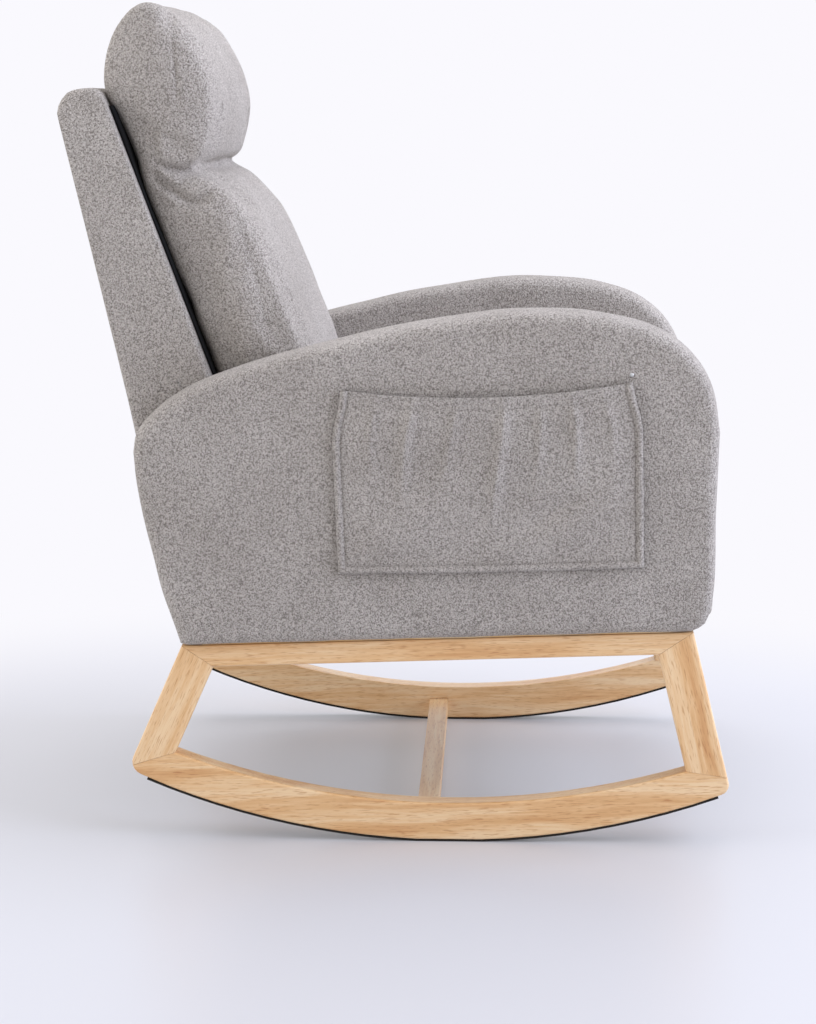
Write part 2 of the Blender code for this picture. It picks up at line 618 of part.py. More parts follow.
def pocket_outline(seam, rise):
    """The pocket's side view, in by a seam's width; its mouth sags, and can be raised."""
    rear, front = POCKET_REAR - seam, POCKET_FRONT + seam
    length, height = rear - front, POCKET_TOP - POCKET_BOTTOM
    mouth = smooth([
        (rear - POCKET_LEAN, POCKET_TOP), (rear - 0.13 * length, POCKET_TOP - 0.6 * POCKET_SAG),
        (rear - 0.43 * length, POCKET_TOP - POCKET_SAG),
        (front + 0.28 * length, POCKET_TOP - 0.7 * POCKET_SAG),
        (front + TACK_INSET, POCKET_TOP - 0.15 * POCKET_SAG)], 3)
    return ([(front, POCKET_BOTTOM + seam), (rear, POCKET_BOTTOM + seam),
             (rear - POCKET_LEAN / 4, POCKET_BOTTOM + 0.58 * height)]
            + [(y, z + rise) for y, z in mouth] + [(front, POCKET_BOTTOM + 0.55 * height)])


def pocket(side, sign, pad):
    """A patch pocket on the arm's outer face: cloth on three seams, open at the top."""
    depth = POCKET_CLOTH + POCKET_ROOM
    face = HALF_WIDTH + CLEAR
    cloth = prism(f"{side}_pocket", pocket_outline(0, 0), sign * (face + depth / 2), depth, FLEECE,
                  POCKET_EDGE, 1)
    room_depth = POCKET_ROOM + MARGIN
    room = prism(f"{side}_pocket_room", pocket_outline(POCKET_SEAM, 5 * MARGIN),
                 sign * (face + POCKET_ROOM - room_depth / 2), room_depth, None)
    cut(cloth, room)
    turn = (0, sign * math.pi / 2, 0)
    at = (sign * face, POCKET_FRONT + TACK_INSET, POCKET_TOP + TACK_RISE)
    turned(f"{side}_pocket_tack", [
        (TACK_SHANK, -TACK_LENGTH), (TACK_SHANK, 0), (TACK_RADIUS, 0), (TACK_RADIUS, 0.35 * TACK_HEIGHT),
        (0.7 * TACK_RADIUS, 0.82 * TACK_HEIGHT), (0.2 * TACK_RADIUS, TACK_HEIGHT)], ZINC, at, turn)
    drill = turned(f"{side}_tack_hole", [
        (TACK_SHANK + CLEAR, -1.2 * TACK_LENGTH), (TACK_SHANK + CLEAR, TACK_HEIGHT)], None, at, turn)
    cut(pad, drill)


# ------------------------------------------------------------------------------- seat


def seat_box(pads, sills):
    """Four timber rails, the dust cover under them and the padded apron in front."""
    outer = INNER - CLEAR
    z = (SEAT_RAIL_BOTTOM, SEAT_RAIL_TOP)
    front = SEAT_FRONT + APRON + CLEAR
    cross = outer - SEAT_RAIL - CLEAR
    block("front_seat_rail", (-cross, cross), (front, front + FRONT_RAIL), z, PINE)
    rear_rail = block("rear_seat_rail", (-cross, cross), (SEAT_REAR - SEAT_RAIL, SEAT_REAR), z, PINE)
    bolt_z = BASE + SILL_HEIGHT / 2
    for side, sign in SIDES:
        x = sorted((sign * outer, sign * (outer - SEAT_RAIL)))
        rail = block(f"{side}_seat_rail", x, (front, SEAT_REAR), z, PINE)
        length = FRAME_X - SILL_WIDTH / 2 - (outer - SEAT_RAIL) + BOLT_GRIP
        for end, at in (("front", front + ARM_BOLT_INSET), ("rear", SEAT_REAR - ARM_BOLT_INSET)):
            seat = (sign * (outer - SEAT_RAIL), at, bolt_z)
            bolt(f"{side}_arm_bolt_{end}", seat, "+X" if sign > 0 else "-X", length,
                 (rail, pads[side], sills[side]))
    wide = (-SEAT_HALF_WIDTH, SEAT_HALF_WIDTH)
    block("dust_cover", wide, (front, SEAT_REAR), (BASE, BASE + DUST_COVER), NONWOVEN)
    block("front_apron", wide, (SEAT_FRONT, SEAT_FRONT + APRON), (BASE, DECK_TOP), FLEECE, APRON_EDGE)
    return rear_rail


def springs():
    """Zigzag wires from the front rail to the rear rail, arched up in the middle."""
    start = SEAT_FRONT + APRON + SPRING_HOLD
    end = SEAT_REAR - SPRING_HOLD
    turns = round((end - start) / SPRING_PITCH)
    count = turns * SPRING_TURN_POINTS
    span = 2 * (INNER - SEAT_RAIL - 2 * SPRING_SWING)
    for k in range(SPRINGS):
        middle = -span / 2 + span * k / (SPRINGS - 1)
        curve = bpy.data.curves.new(f"seat_spring_{k + 1}", "CURVE")
        curve.dimensions = "3D"
        curve.bevel_depth = SPRING_WIRE / 2
        curve.bevel_resolution = 1
        curve.use_fill_caps = True
        spline = curve.splines.new("POLY")
        spline.points.add(count)
        for i in range(count + 1):
            t = i / count
            swing = SPRING_SWING * math.sin(2 * math.pi * turns * t)
            rise = SPRING_ARCH * math.sin(math.pi * t)
            z = SEAT_RAIL_TOP + CLEAR + SPRING_WIRE / 2 + rise
            spline.points[i].co = (middle + swing, start + (end - start) * t, z, 1)
        place(curve.name, curve, SPRING_STEEL)


def seat_cushions():
    """The platform over the springs and the loose seat cushion on it."""
    front = SEAT_FRONT + APRON + CLEAR
    block("seat_deck", (-SEAT_HALF_WIDTH, SEAT_HALF_WIDTH), (front, SEAT_REAR), (DECK_BOTTOM, DECK_TOP),
          NONWOVEN)
    rear = back_front_y(DECK_TOP) - 3 * CLEAR
    low, high = CUSHION_BOTTOM, CUSHION_TOP
    outline = rounded([(SEAT_FRONT, low, CUSHION_CORNER), (rear, low, CUSHION_CORNER),
                       (rear, high - CUSHION_CROWN, CUSHION_CORNER),
                       (SEAT_FRONT - SEAT_CUSHION_LIP, high - CUSHION_CROWN / 2, CUSHION_NOSE)])
    prism("seat_cushion", outline, 0, 2 * SEAT_HALF_WIDTH, FLEECE, CUSHION_EDGE, 3)


# ------------------------------------------------------------------------------- back


def back_front_y(z):
    """The back's front plane at height z."""
    return BACK_FRONT_TOP - (BACK_TOP - z) * math.tan(FRONT_LEAN)


def back_rear_y(z, inset_by=0.0):
    """The back's rear plane at height z, or one parallel to it, further in."""
    return BACK_REAR_FOOT + (z - BASE) * math.tan(REAR_LEAN) - inset_by / math.cos(REAR_LEAN)


def back(rear_rail):
    """A wedge-shaped padded shell over a timber frame, closed in front by a black lining."""
    step = DECK_TOP + CLEAR
    heel = SEAT_REAR + 2 * CLEAR
    shell = prism("back_shell", rounded([
        (back_rear_y(BASE), BASE, 0), (heel, BASE, 0), (heel, step, 0), (back_front_y(step), step, 0),
        (back_front_y(BACK_TOP), BACK_TOP, BACK_FRONT_CORNER),
        (back_rear_y(BACK_TOP), BACK_TOP, BACK_REAR_CORNER)]),
        0, 2 * SEAT_HALF_WIDTH, FLEECE, BACK_EDGE, 3)

    behind, before = SHELL_WALL, SHELL_WALL + STILE_DEPTH
    top, foot, floor = BACK_TOP - SHELL_TOP_WALL, BASE + CLEAR, step + SHELL_WALL
    open_low, open_top = BASE - MARGIN, top + CLEAR
    room = prism("back_room", [
        (back_rear_y(open_low, behind - CLEAR), open_low), (back_rear_y(open_top, behind - CLEAR), open_top),
        (back_front_y(open_top) - SHELL_REACH, open_top), (back_front_y(floor) - SHELL_REACH, floor),
        (back_rear_y(floor, before + CLEAR), floor), (back_rear_y(open_low, before + CLEAR), open_low)],
        0, 2 * (SEAT_HALF_WIDTH - SHELL_WALL), None)
    cut(shell, room)

    def slab(low, high):
        return [(back_rear_y(low, behind), low), (back_rear_y(high, behind), high),
                (back_rear_y(high, before), high), (back_rear_y(low, before), low)]
    stile_x = SEAT_HALF_WIDTH - SHELL_WALL - CLEAR - STILE_WIDTH / 2
    bolt_z = BASE + BACK_BOLT_RISE
    bolt_x = min(stile_x, INNER - SEAT_RAIL - BOLT_HEAD_RADIUS - 4 * BOLT_SLACK)
    length = back_rear_y(bolt_z, behind) - (SEAT_REAR - SEAT_RAIL) - BOLT_RADIUS
    for side, sign in SIDES:
        post = prism(f"{side}_back_stile", slab(foot, top), sign * stile_x, STILE_WIDTH, PINE)
        seat = (sign * bolt_x, SEAT_REAR - SEAT_RAIL, bolt_z)
        bolt(f"{side}_back_bolt", seat, "+Y", length, (rear_rail, shell, post))
    cross = 2 * (stile_x - STILE_WIDTH / 2 - CLEAR)
    for name, low in (("back_top_rail", top - BACK_RAIL), ("back_lower_rail", foot + BACK_RAIL_RISE)):
        prism(name, slab(low, low + BACK_RAIL), 0, cross, PINE)

    low = floor + CLEAR
    slant = LINER / math.cos(FRONT_LEAN)
    prism("back_lining", [
        (back_front_y(low) + slant, low), (back_front_y(top) + slant, top),
        (back_front_y(top), top), (back_front_y(low), low)],
        0, 2 * (SEAT_HALF_WIDTH - SHELL_WALL - CLEAR), NONWOVEN)


# front of the back cushion: share of its height down from the top, share of its depth
BACK_CUSHION_FRONT = ((0.006, 0.55), (0.074, 0.81), (0.19, 0.95), (0.37, 1.0), (0.60, 1.0),
                      (0.79, 0.96), (0.915, 0.88), (0.983, 0.75))
# headrest, from its lower front round the top to its rear: shares of its depth and height
HEADREST_ROUND = ((0.99, 0.20), (1.0, 0.39), (0.985, 0.595), (0.90, 0.77), (0.73, 0.915), (0.51, 1.0),
                  (0.26, 0.93), (0.09, 0.785), (0.03, 0.645))


def back_cushions():
    """The back cushion and the headrest roll sewn on over it, both filled through the rear."""
    gap = BACK_GAP / math.cos(FRONT_LEAN)
    low, high = CUSHION_TOP + CUSHION_GAP, BACK_CUSHION_TOP
    skin = CUSHION_SKIN

    def ahead(z, depth):
        """A point in front of the dark gap, by a depth, at height z."""
        return (back_front_y(z) - gap - depth, z)

    def on_front(down, depth, inside=0.0):
        return ahead(high - down * (high - low), depth * BACK_CUSHION_DEPTH - inside)
    rear = skin * 0.4
    front = smooth([on_front(*point) for point in BACK_CUSHION_FRONT], 3)
    outline = [ahead(low, rear), ahead(high, rear)] + front + [on_front(1.0, 0.58)]
    half_width = SEAT_HALF_WIDTH - BACK_CUSHION_SIDE_GAP
    cushion = prism("back_cushion", outline, 0, 2 * half_width, FLEECE, BACK_CUSHION_EDGE, 3)
    fill = ([ahead(high - skin, -2 * skin), ahead(high - skin, 0.55 * BACK_CUSHION_DEPTH - skin)]
            + [on_front(*point, skin) for point in BACK_CUSHION_FRONT[2:-1]] + [ahead(low + skin, -2 * skin)])
    cut(cushion, prism("back_fill", fill, 0, 2 * (half_width - skin), None))

    base = high + CUSHION_GAP
    roll = smooth([on_front(0.0, 0.58)[:1] + (base,)] + [
        (BACK_FRONT_TOP - depth * HEADREST_DEPTH, base + up * HEADREST_HEIGHT)
        for depth, up in HEADREST_ROUND]
        + [ahead(base + up * HEADREST_HEIGHT, 0.0) for up in (0.41, 0.20)], 3) + [ahead(base, rear)]
    half_width = SEAT_HALF_WIDTH - HEADREST_SIDE_GAP
    headrest = prism("headrest", roll, 0, 2 * half_width, FLEECE, HEADREST_EDGE, 3)
    zip_low, zip_high = (base + up for up in ZIP_HEIGHT)
    cut(headrest, prism("headrest_fill", inset(roll, skin), 0, 2 * (half_width - skin), None),
        prism("headrest_zip", [ahead(zip_low, -2 * skin), ahead(zip_high, -2 * skin),
                               ahead(zip_high, 4 * skin), ahead(zip_low, 4 * skin)],
              0, 2 * (half_width - 3 * skin), None))


# --------------------------------------------------------------------------- assembly

frames = side_frames()
stretcher(frames)
pads, sills = {}, {}
for side, sign in SIDES:
    pads[side], sills[side] = arm(side, sign, frames[side, "top_rail"])
    pocket(side, sign, pads[side])
rear_seat_rail = seat_box(pads, sills)
springs()
seat_cushions()
back(rear_seat_rail)
back_cushions()

# roll the chair back about the arc's centre, then centre it over the origin
chair.location = (0, 0, -ROCKER_RADIUS)
tilt_pivot.location = (0, 0, ROCKER_RADIUS * math.cos(math.asin(REST_FLAT / 2 / ROCKER_RADIUS)))
tilt_pivot.rotation_euler = (-REST_TILT, 0, 0)
bpy.context.view_layer.update()
depths = [(piece.matrix_world @ vertex.co).y
          for piece in bpy.data.objects if piece.type == "MESH" and not piece.hide_render
          for vertex in piece.data.vertices]
tilt_pivot.location.y = -(min(depths) + max(depths)) / 2
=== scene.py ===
# %% [markdown]
# # An upholstered rocking chair
# The chair stands on two mitred rubberwood frames. Everything above them is soft: padded arms with
# a patch pocket on each side, a wedge-shaped back, and loose cushions in a grey teddy fleece.
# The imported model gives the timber, the bolts and the springs. This lesson adds the upholstery,
# the finishes, the light and the camera.

import math

import bpy
import bmesh
import numpy as np
from mathutils import Matrix, Vector


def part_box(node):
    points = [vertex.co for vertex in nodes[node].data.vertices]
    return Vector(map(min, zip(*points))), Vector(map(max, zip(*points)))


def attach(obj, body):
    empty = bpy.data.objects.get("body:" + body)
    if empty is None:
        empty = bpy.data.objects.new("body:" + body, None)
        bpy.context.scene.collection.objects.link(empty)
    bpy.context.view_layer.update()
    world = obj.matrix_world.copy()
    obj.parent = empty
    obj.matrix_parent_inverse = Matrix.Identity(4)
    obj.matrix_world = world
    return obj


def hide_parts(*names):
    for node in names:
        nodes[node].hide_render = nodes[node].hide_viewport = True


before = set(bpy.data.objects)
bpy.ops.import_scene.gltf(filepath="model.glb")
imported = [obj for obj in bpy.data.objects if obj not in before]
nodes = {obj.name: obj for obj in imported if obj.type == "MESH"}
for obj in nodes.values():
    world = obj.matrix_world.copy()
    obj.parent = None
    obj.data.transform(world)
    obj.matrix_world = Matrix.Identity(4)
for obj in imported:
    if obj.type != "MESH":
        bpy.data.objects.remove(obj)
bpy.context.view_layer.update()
scene = bpy.context.scene

# %% [markdown]
# The chair is rolled back by two degrees about the centre of its rocker arc. Its outlines are
# easier to draw level, so they are drawn in a level "chair frame", where y = 0 lies under the
# arc's centre and z = 0 is the arc's lowest point. One function rolls them back to where the
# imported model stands. The cross bar tells where the arc's centre is.

# %% From the level chair frame to the world
TILT = math.radians(2.0)
ARC_RADIUS = 0.955
BAR_CENTRE = (0.060, 0.0245)        # of the cross bar, in the chair frame
COS, SIN = math.cos(TILT), math.sin(TILT)
bar_low, bar_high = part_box("stretcher")
bar_middle = (bar_low + bar_high) / 2
arc_y = bar_middle.y - (BAR_CENTRE[0] * COS + (BAR_CENTRE[1] - ARC_RADIUS) * SIN)
arc_z = bar_middle.z - (-BAR_CENTRE[0] * SIN + (BAR_CENTRE[1] - ARC_RADIUS) * COS)


def to_world(points):
    """Rolls (x, y, z) points back about the arc's centre:
    y' = y cos t + (z - R) sin t + centre y, and z' = (z - R) cos t - y sin t + centre z."""
    points = np.asarray(points, float)
    level = points[..., 2] - ARC_RADIUS
    return np.stack([points[..., 0],
                     points[..., 1] * COS + level * SIN + arc_y,
                     level * COS - points[..., 1] * SIN + arc_z], axis=-1)


print("arc centre at y", round(arc_y, 4), "z", round(arc_z, 4))

# %% [markdown]
# Fabric needs many small facets, so each soft shape is a grid of points worked out by numpy. A
# grid becomes a mesh in one call. Points that fall on each other are merged, which closes seams
# and poles, and the normals are turned outwards.

# %% A grid of points becomes a closed mesh
MERGE = 1e-5                        # metres, well under the smallest facet


def grid_quads(rows, columns, closed):
    """Vertex numbers of the quads between neighbours; closed joins the last column to the first."""
    index = np.arange(rows * columns).reshape(rows, columns)
    if closed:
        index = np.hstack([index, index[:, :1]])
    quads = np.stack([index[:-1, :-1], index[:-1, 1:], index[1:, 1:], index[1:, :-1]], axis=-1)
    return quads.reshape(-1, 4)


def ring_object(name, grid):
    """A piece from a (rows, columns, 3) grid whose every row is a closed ring."""
    mesh = bpy.data.meshes.new(name)
    mesh.from_pydata(grid.reshape(-1, 3), [], grid_quads(*grid.shape[:2], closed=True).tolist())
    return finished(name, mesh)


def finished(name, mesh):
    """Merges doubles, turns the faces outwards, shades them smooth and links the object."""
    bm = bmesh.new()
    bm.from_mesh(mesh)
    bmesh.ops.remove_doubles(bm, verts=bm.verts, dist=MERGE)
    bmesh.ops.dissolve_degenerate(bm, edges=bm.edges, dist=MERGE)
    bmesh.ops.recalc_face_normals(bm, faces=bm.faces)
    open_edges = sum(edge.is_boundary for edge in bm.edges)
    bm.to_mesh(mesh)
    bm.free()
    mesh.shade_smooth()
    piece = bpy.data.objects.new(name, mesh)
    scene.collection.objects.link(piece)
    print(name, len(mesh.polygons), "faces,", open_edges, "open edges")
    return piece


# %% [markdown]
# An upholsterer cuts foam to a template that is drawn through a few marks with a bent spline.
# The outlines here are made the same way: a few points, a smooth curve through them, and that
# curve read again at even steps, so that the facets come out the same size all along it.

# %% Smooth curves through a few points
SPLINE_STEPS = 24                   # readings between two marks


def curve(points, count):
    """A Catmull-Rom curve through the points, read at count + 1 places that are evenly spaced
    along it. Each stretch blends its four nearest points with cubic weights."""
    points = np.asarray(points, float)
    wide = np.vstack([2 * points[0] - points[1], points, 2 * points[-1] - points[-2]])
    t = np.linspace(0, 1, SPLINE_STEPS, endpoint=False)[:, None]
    a, b, c, d = (wide[k:len(wide) - 3 + k, None] for k in range(4))
    dense = 0.5 * (2 * b + (c - a) * t + (2 * a - 5 * b + 4 * c - d) * t ** 2
                   + (3 * b - a - 3 * c + d) * t ** 3)
    dense = np.vstack([dense.reshape(-1, points.shape[1]), points[-1]])
    return evenly(dense, count)


def evenly(line, count):
    """A polyline read again at count + 1 evenly spaced places."""
    line = np.asarray(line, float)
    length = np.concatenate([[0], np.cumsum(np.linalg.norm(np.diff(line, axis=0), axis=1))])
    at = np.linspace(0, length[-1], count + 1)
    return np.stack([np.interp(at, length, column) for column in line.T], axis=1)


def smoothstep(low, high, value):
    """0 below low, 1 above high, and a smooth S between them."""
    t = np.clip((value - low) / (high - low), 0, 1)
    return t * t * (3 - 2 * t)


# %% [markdown]
# Padding is never flat. Foam and wadding settle unevenly, and the cover drags a little between
# its fixings. A sum of a few long sine waves, in directions that don't repeat, gives that
# unevenness without any randomness, so the chair comes out the same each time.

# %% Slow unevenness of padding
# waves per metre in the two directions, phase, and share of the whole
WAVES = ((7.1, 0.3, 0.0, 0.35), (4.3, 8.9, 1.7, 0.30),
         (-9.7, 6.1, 4.1, 0.20), (13.3, 11.9, 2.6, 0.15))


def unevenness(u, v):
    """Sum of sine waves over two directions in metres, between about -1 and 1."""
    return sum(share * np.sin(2 * np.pi * (a * u + b * v) + phase)
               for a, b, phase, share in WAVES)


wave_lengths = [1 / math.hypot(a, b) for a, b, *_ in WAVES]
print(len(WAVES), "waves, in metres:", [round(length, 3) for length in wave_lengths])

# %% [markdown]
# Arms, back and cushions are all built on one idea. An outline in the side view is carried
# across the chair's width. Near each end the outline draws in over a quarter circle, which
# rounds the edge, and the end face then draws in to a line down its middle, called the spine,
# and swells a little. The upper and lower halves of the outline have the same number of points,
# so they meet on the spine and the form closes.

# %% The padded form
FACE_BUNCHING = 0.9                 # below 1, the rings on an end face lie closer to its middle
UNEVEN_SHIFT = 0.31                 # metres, so that the band's waves differ from the faces'


def padded_form(upper, lower, spine, low, high, rounding, face=0.0, band=0.0,
                across=24, edge_steps=6, face_steps=16, uneven=0.0):
    """The grid of a closed padded form between x = low and x = high, in the chair frame.

    The rim point p at width x is p moved towards its spine point s: by nothing on the band, by
    r (1 - cos a) on the rounding, where x = high - r (1 - sin a), and by a share t of the way on
    the end face, where x swells by face * (1 - (1 - t)^2). The band swells by band * (1 - w^2).
    """
    outline = np.vstack([upper[:-1], lower[::-1][:-1]])
    middle = np.vstack([spine[:-1], spine[::-1][:-1]])
    inward = middle - outline
    inward = inward / np.linalg.norm(inward, axis=1, keepdims=True)
    half, centre = (high - low) / 2, (high + low) / 2
    flat = half - rounding

    w = np.linspace(-1, 1, across + 1)
    a = np.linspace(0, np.pi / 2, edge_steps + 1)[1:]
    t = np.linspace(0, 1, face_steps + 1)[1:] ** FACE_BUNCHING
    band_rows = np.stack([flat * w, -band * (1 - w * w), 0 * w], axis=1)
    edge_rows = np.stack([flat + rounding * np.sin(a), rounding * (1 - np.cos(a)), 0 * a], axis=1)
    face_rows = np.stack([half + face * (1 - (1 - t) ** 2), rounding + 0 * t, t], axis=1)
    end_rows = np.vstack([edge_rows, face_rows])
    rows = np.vstack([end_rows[::-1] * (-1, 1, 1), band_rows, end_rows])
    x, inset, share = (column[:, None, None] for column in rows.T)
    rim = outline + inward * inset
    side_view = rim + (middle - rim) * share
    grid = np.concatenate([x + 0 * side_view[..., :1], side_view], axis=-1)
    if uneven:
        on_face = smoothstep(flat, half, np.abs(grid[..., 0]))
        grid[..., 0] += (np.sign(grid[..., 0]) * on_face * uneven
                         * unevenness(grid[..., 1], grid[..., 2]))
        lift = (1 - on_face) * uneven * unevenness(grid[..., 0] + centre + UNEVEN_SHIFT,
                                                   grid[..., 1] + grid[..., 2])
        grid[..., 1:] -= lift[..., None] * inward
    grid[..., 0] += centre
    return grid


print("a form's rim is rounded over a quarter circle at each end")

# %% [markdown]
# **The arms.** Each arm is a plywood panel wrapped in foam, with the fleece pulled tight over
# it: a rounded outer face, a broad crest that slopes down to the rear, and a full nose at the
# front. The cover is stapled under the bottom edge, where it meets the wooden rail.

# %% Outline of an arm, seen from the side
arm_low, arm_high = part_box("right_arm_pad")
ARM_OUTER, ARM_INNER = -arm_low.x, -arm_high.x
ARM_FOOT = 0.2585
ARM_POINTS, ARM_EDGE_POINTS = 120, 40
ARM_CREST = ((0.3985, 0.497), (0.3925, 0.520), (0.371, 0.543), (0.344, 0.562), (0.300, 0.582),
             (0.194, 0.611), (0.073, 0.635), (-0.030, 0.648), (-0.104, 0.6495), (-0.177, 0.641),
             (-0.224, 0.627), (-0.262, 0.605), (-0.286, 0.577), (-0.300, 0.543), (-0.3065, 0.497))
ARM_BACK_EDGE = ((0.3985, 0.497), (0.3965, 0.459), (0.388, 0.407), (0.372, 0.327),
                 (0.3520, 0.2600))
ARM_HEEL = (0.3495, ARM_FOOT)
ARM_FRONT_EDGE = ((-0.268, 0.2585), (-0.284, 0.2665), (-0.2925, 0.288), (-0.297, 0.322),
                  (-0.299, 0.380), (-0.3015, 0.438), (-0.3065, 0.497))
arm_upper = curve(ARM_CREST, ARM_POINTS)
arm_lower = evenly(np.vstack([curve(ARM_BACK_EDGE, ARM_EDGE_POINTS), [ARM_HEEL],
                              curve(ARM_FRONT_EDGE, ARM_EDGE_POINTS)]), ARM_POINTS)
# the spine lies under the pocket, where its small pucker can't be seen
arm_spine = curve(((0.130, 0.440), (-0.020, 0.455), (-0.180, 0.450)), ARM_POINTS)
print("arm", round(arm_upper[:, 1].max(), 4), "high,", round(ARM_OUTER - ARM_INNER, 4), "thick")

# %% Both arm covers
ARM_EDGE, ARM_BAND_SWELL, FACE_SWELL, ARM_UNEVEN = 0.015, 0.0022, 0.0025, 0.0011
SIDES = (("right", -1), ("left", 1))


def mirrored(grid, sign):
    """The same grid on the sitter's right (x negative) or left."""
    return grid * np.array([sign, 1, 1])


arm_grid = padded_form(arm_upper, arm_lower, arm_spine, ARM_INNER, ARM_OUTER, ARM_EDGE,
                       face=FACE_SWELL, band=ARM_BAND_SWELL, across=22, face_steps=26,
                       uneven=ARM_UNEVEN)
arm_covers = {side: ring_object(f"{side}_arm_cover", to_world(mirrored(arm_grid, sign)))
              for side, sign in SIDES}

# %% [markdown]
# **The side pockets.** Each is one patch of fleece, sewn to the arm along its two sides and its
# bottom, and open along the top. The edge is turned under and sewn down, which leaves a soft
# ridge along each seam. The mouth is hemmed and sags, so that it stands off the arm and throws
# a thin dark line, and the spare cloth gathers in folds below the hem.

# %% The pocket's outline
POCKET_FRONT, POCKET_REAR = -0.2145, 0.157
POCKET_BOTTOM, POCKET_TOP = 0.343, 0.567
POCKET_WIDTH, POCKET_HEIGHT = POCKET_REAR - POCKET_FRONT, POCKET_TOP - POCKET_BOTTOM
MOUTH_SAG = 0.0135
REAR_DRAWN_IN, FRONT_DRAWN_IN = 0.0135, 0.012     # the upper corners, pulled in by the sag


def pocket_place(u, v):
    """Side-view place of a point of the patch: u runs from the rear seam to the front one, v
    from the bottom seam to the mouth. Each side is a smooth line, blended straight across."""
    rear = POCKET_REAR - REAR_DRAWN_IN * smoothstep(0.70, 1.02, v) - 0.002 * (1 - v)
    front = POCKET_FRONT + FRONT_DRAWN_IN * smoothstep(0.72, 1.02, v) + 0.003 * (1 - v)
    low = POCKET_BOTTOM + 0.003 * (0.5 - u) - 0.0015 * np.sin(np.pi * u)
    high = POCKET_TOP - MOUTH_SAG * np.sin(np.pi * u).clip(0) ** 0.75 - 0.001 * u
    return rear + (front - rear) * u, low + (high - low) * v


print("pocket", round(POCKET_WIDTH, 4), "by", round(POCKET_HEIGHT, 4), "m")

# %% The pocket's relief
CLOTH = 0.0022
UNDERLAY = 0.0008                         # turned-under edge below the whole rim
RIDGE, RIDGE_HEIGHT = 0.0085, 0.0028      # sewn edge: width, and height over the cloth
HEM = 0.0165
SLACK, BELLY, MOUTH_OPEN, MOUTH_ROLL = 0.0018, 0.0024, 0.0056, 0.0012
SEAM_GROOVE, HEM_GROOVE = 0.0016, 0.0014
# folds below the hem: place along the mouth, slant, half width, height, share of the depth
FOLDS = ((0.120, 0.010, 0.026, 0.0030, 0.55), (0.245, -0.050, 0.036, 0.0062, 0.70),
         (0.395, -0.085, 0.036, 0.0040, 0.60), (0.560, -0.080, 0.036, 0.0070, 0.85),
         (0.680, -0.050, 0.030, 0.0040, 0.60), (0.790, -0.020, 0.028, 0.0050, 0.55),
         (0.900, 0.030, 0.024, 0.0024, 0.45))
DENT, DENT_PLACE, DENT_SIZE = 0.0066, (0.70, 0.33), (0.055, 0.17)
DRAG, DRAG_WAVES, DRAG_PHASE = 0.0016, (2.1, -1.35), 0.6


def bell(distance, width):
    """A bell curve: 1 at distance 0, and 1/e at one width away."""
    return np.exp(-(distance / width) ** 2)


def pocket_height(u, v):
    """How far the patch stands off the arm: a ridge along the seams that ends in a stitched
    groove, a slack middle, folds and a slanting dent under the hem, and an open, rolled mouth."""
    to_seam = np.minimum(np.minimum(u, 1 - u) * POCKET_WIDTH, v * POCKET_HEIGHT)
    from_mouth = (1 - v) * POCKET_HEIGHT
    below_hem = (from_mouth - HEM).clip(0) / (POCKET_HEIGHT - HEM)
    inside = smoothstep(RIDGE, 5 * RIDGE, to_seam)
    arch = np.sin(np.pi * u).clip(0)

    ridge = RIDGE_HEIGHT * np.sqrt(np.sin(np.pi * (to_seam / RIDGE).clip(0, 1)).clip(0, 1))
    rim = UNDERLAY + 0.0004 * smoothstep(0, 0.001, to_seam) + ridge
    mouth = (MOUTH_OPEN * smoothstep(0.55, 1.0, v) * arch ** 0.6
             + MOUTH_ROLL * bell(from_mouth, 0.006))
    belly = (BELLY * inside * np.sin(np.pi * v).clip(0) ** 0.8
             * (0.8 + 0.2 * np.cos(2 * np.pi * u)))
    folds = sum(rise * bell(u - at - slant * below_hem, 0.55 * half)
                * (1 - smoothstep(0.35 * depth, depth, below_hem))
                * smoothstep(-0.05, 0.08, below_hem)
                for at, slant, half, rise, depth in FOLDS)
    du, dv = u - DENT_PLACE[0], v - DENT_PLACE[1]
    dent = (DENT * bell(0.72 * du - 0.69 * dv, DENT_SIZE[0])
            * bell(0.69 * du + 0.72 * dv, DENT_SIZE[1]))
    grooves = (SEAM_GROOVE * bell(to_seam - RIDGE, 0.0016)
               + HEM_GROOVE * bell(from_mouth - HEM, 0.0018) * smoothstep(0.01, 0.03, to_seam))
    pull = 2 * np.pi * (DRAG_WAVES[0] * u + DRAG_WAVES[1] * v) + DRAG_PHASE
    drag = DRAG * inside * np.sin(pull) * smoothstep(0.9, 0.3, v)
    return CLOTH + rim + SLACK * inside + mouth + belly + inside * (folds - dent) - grooves + drag


print(len(FOLDS), "folds, up to", max(fold[3] for fold in FOLDS), "m high")

# %% Sew the pockets on
POCKET_COLUMNS, POCKET_ROWS = 240, 150
SEAM_GAP = 0.0004                         # between the patch's edge and the arm


def closed_sheet(name, front, back):
    """Two layers of the same grid, joined round their rim by strips of quads."""
    rows, columns = front.shape[:2]
    index = np.arange(rows * columns).reshape(rows, columns)
    quads = grid_quads(rows, columns, closed=False)
    rim = np.concatenate([index[0, :-1], index[:-1, -1], index[-1, :0:-1], index[:0:-1, 0]])
    following = np.roll(rim, -1)
    strips = np.stack([rim, following, following + index.size, rim + index.size], axis=-1)
    faces = np.vstack([quads, quads[:, ::-1] + index.size, strips])
    mesh = bpy.data.meshes.new(name)
    mesh.from_pydata(np.vstack([front.reshape(-1, 3), back.reshape(-1, 3)]), [], faces.tolist())
    return finished(name, mesh)


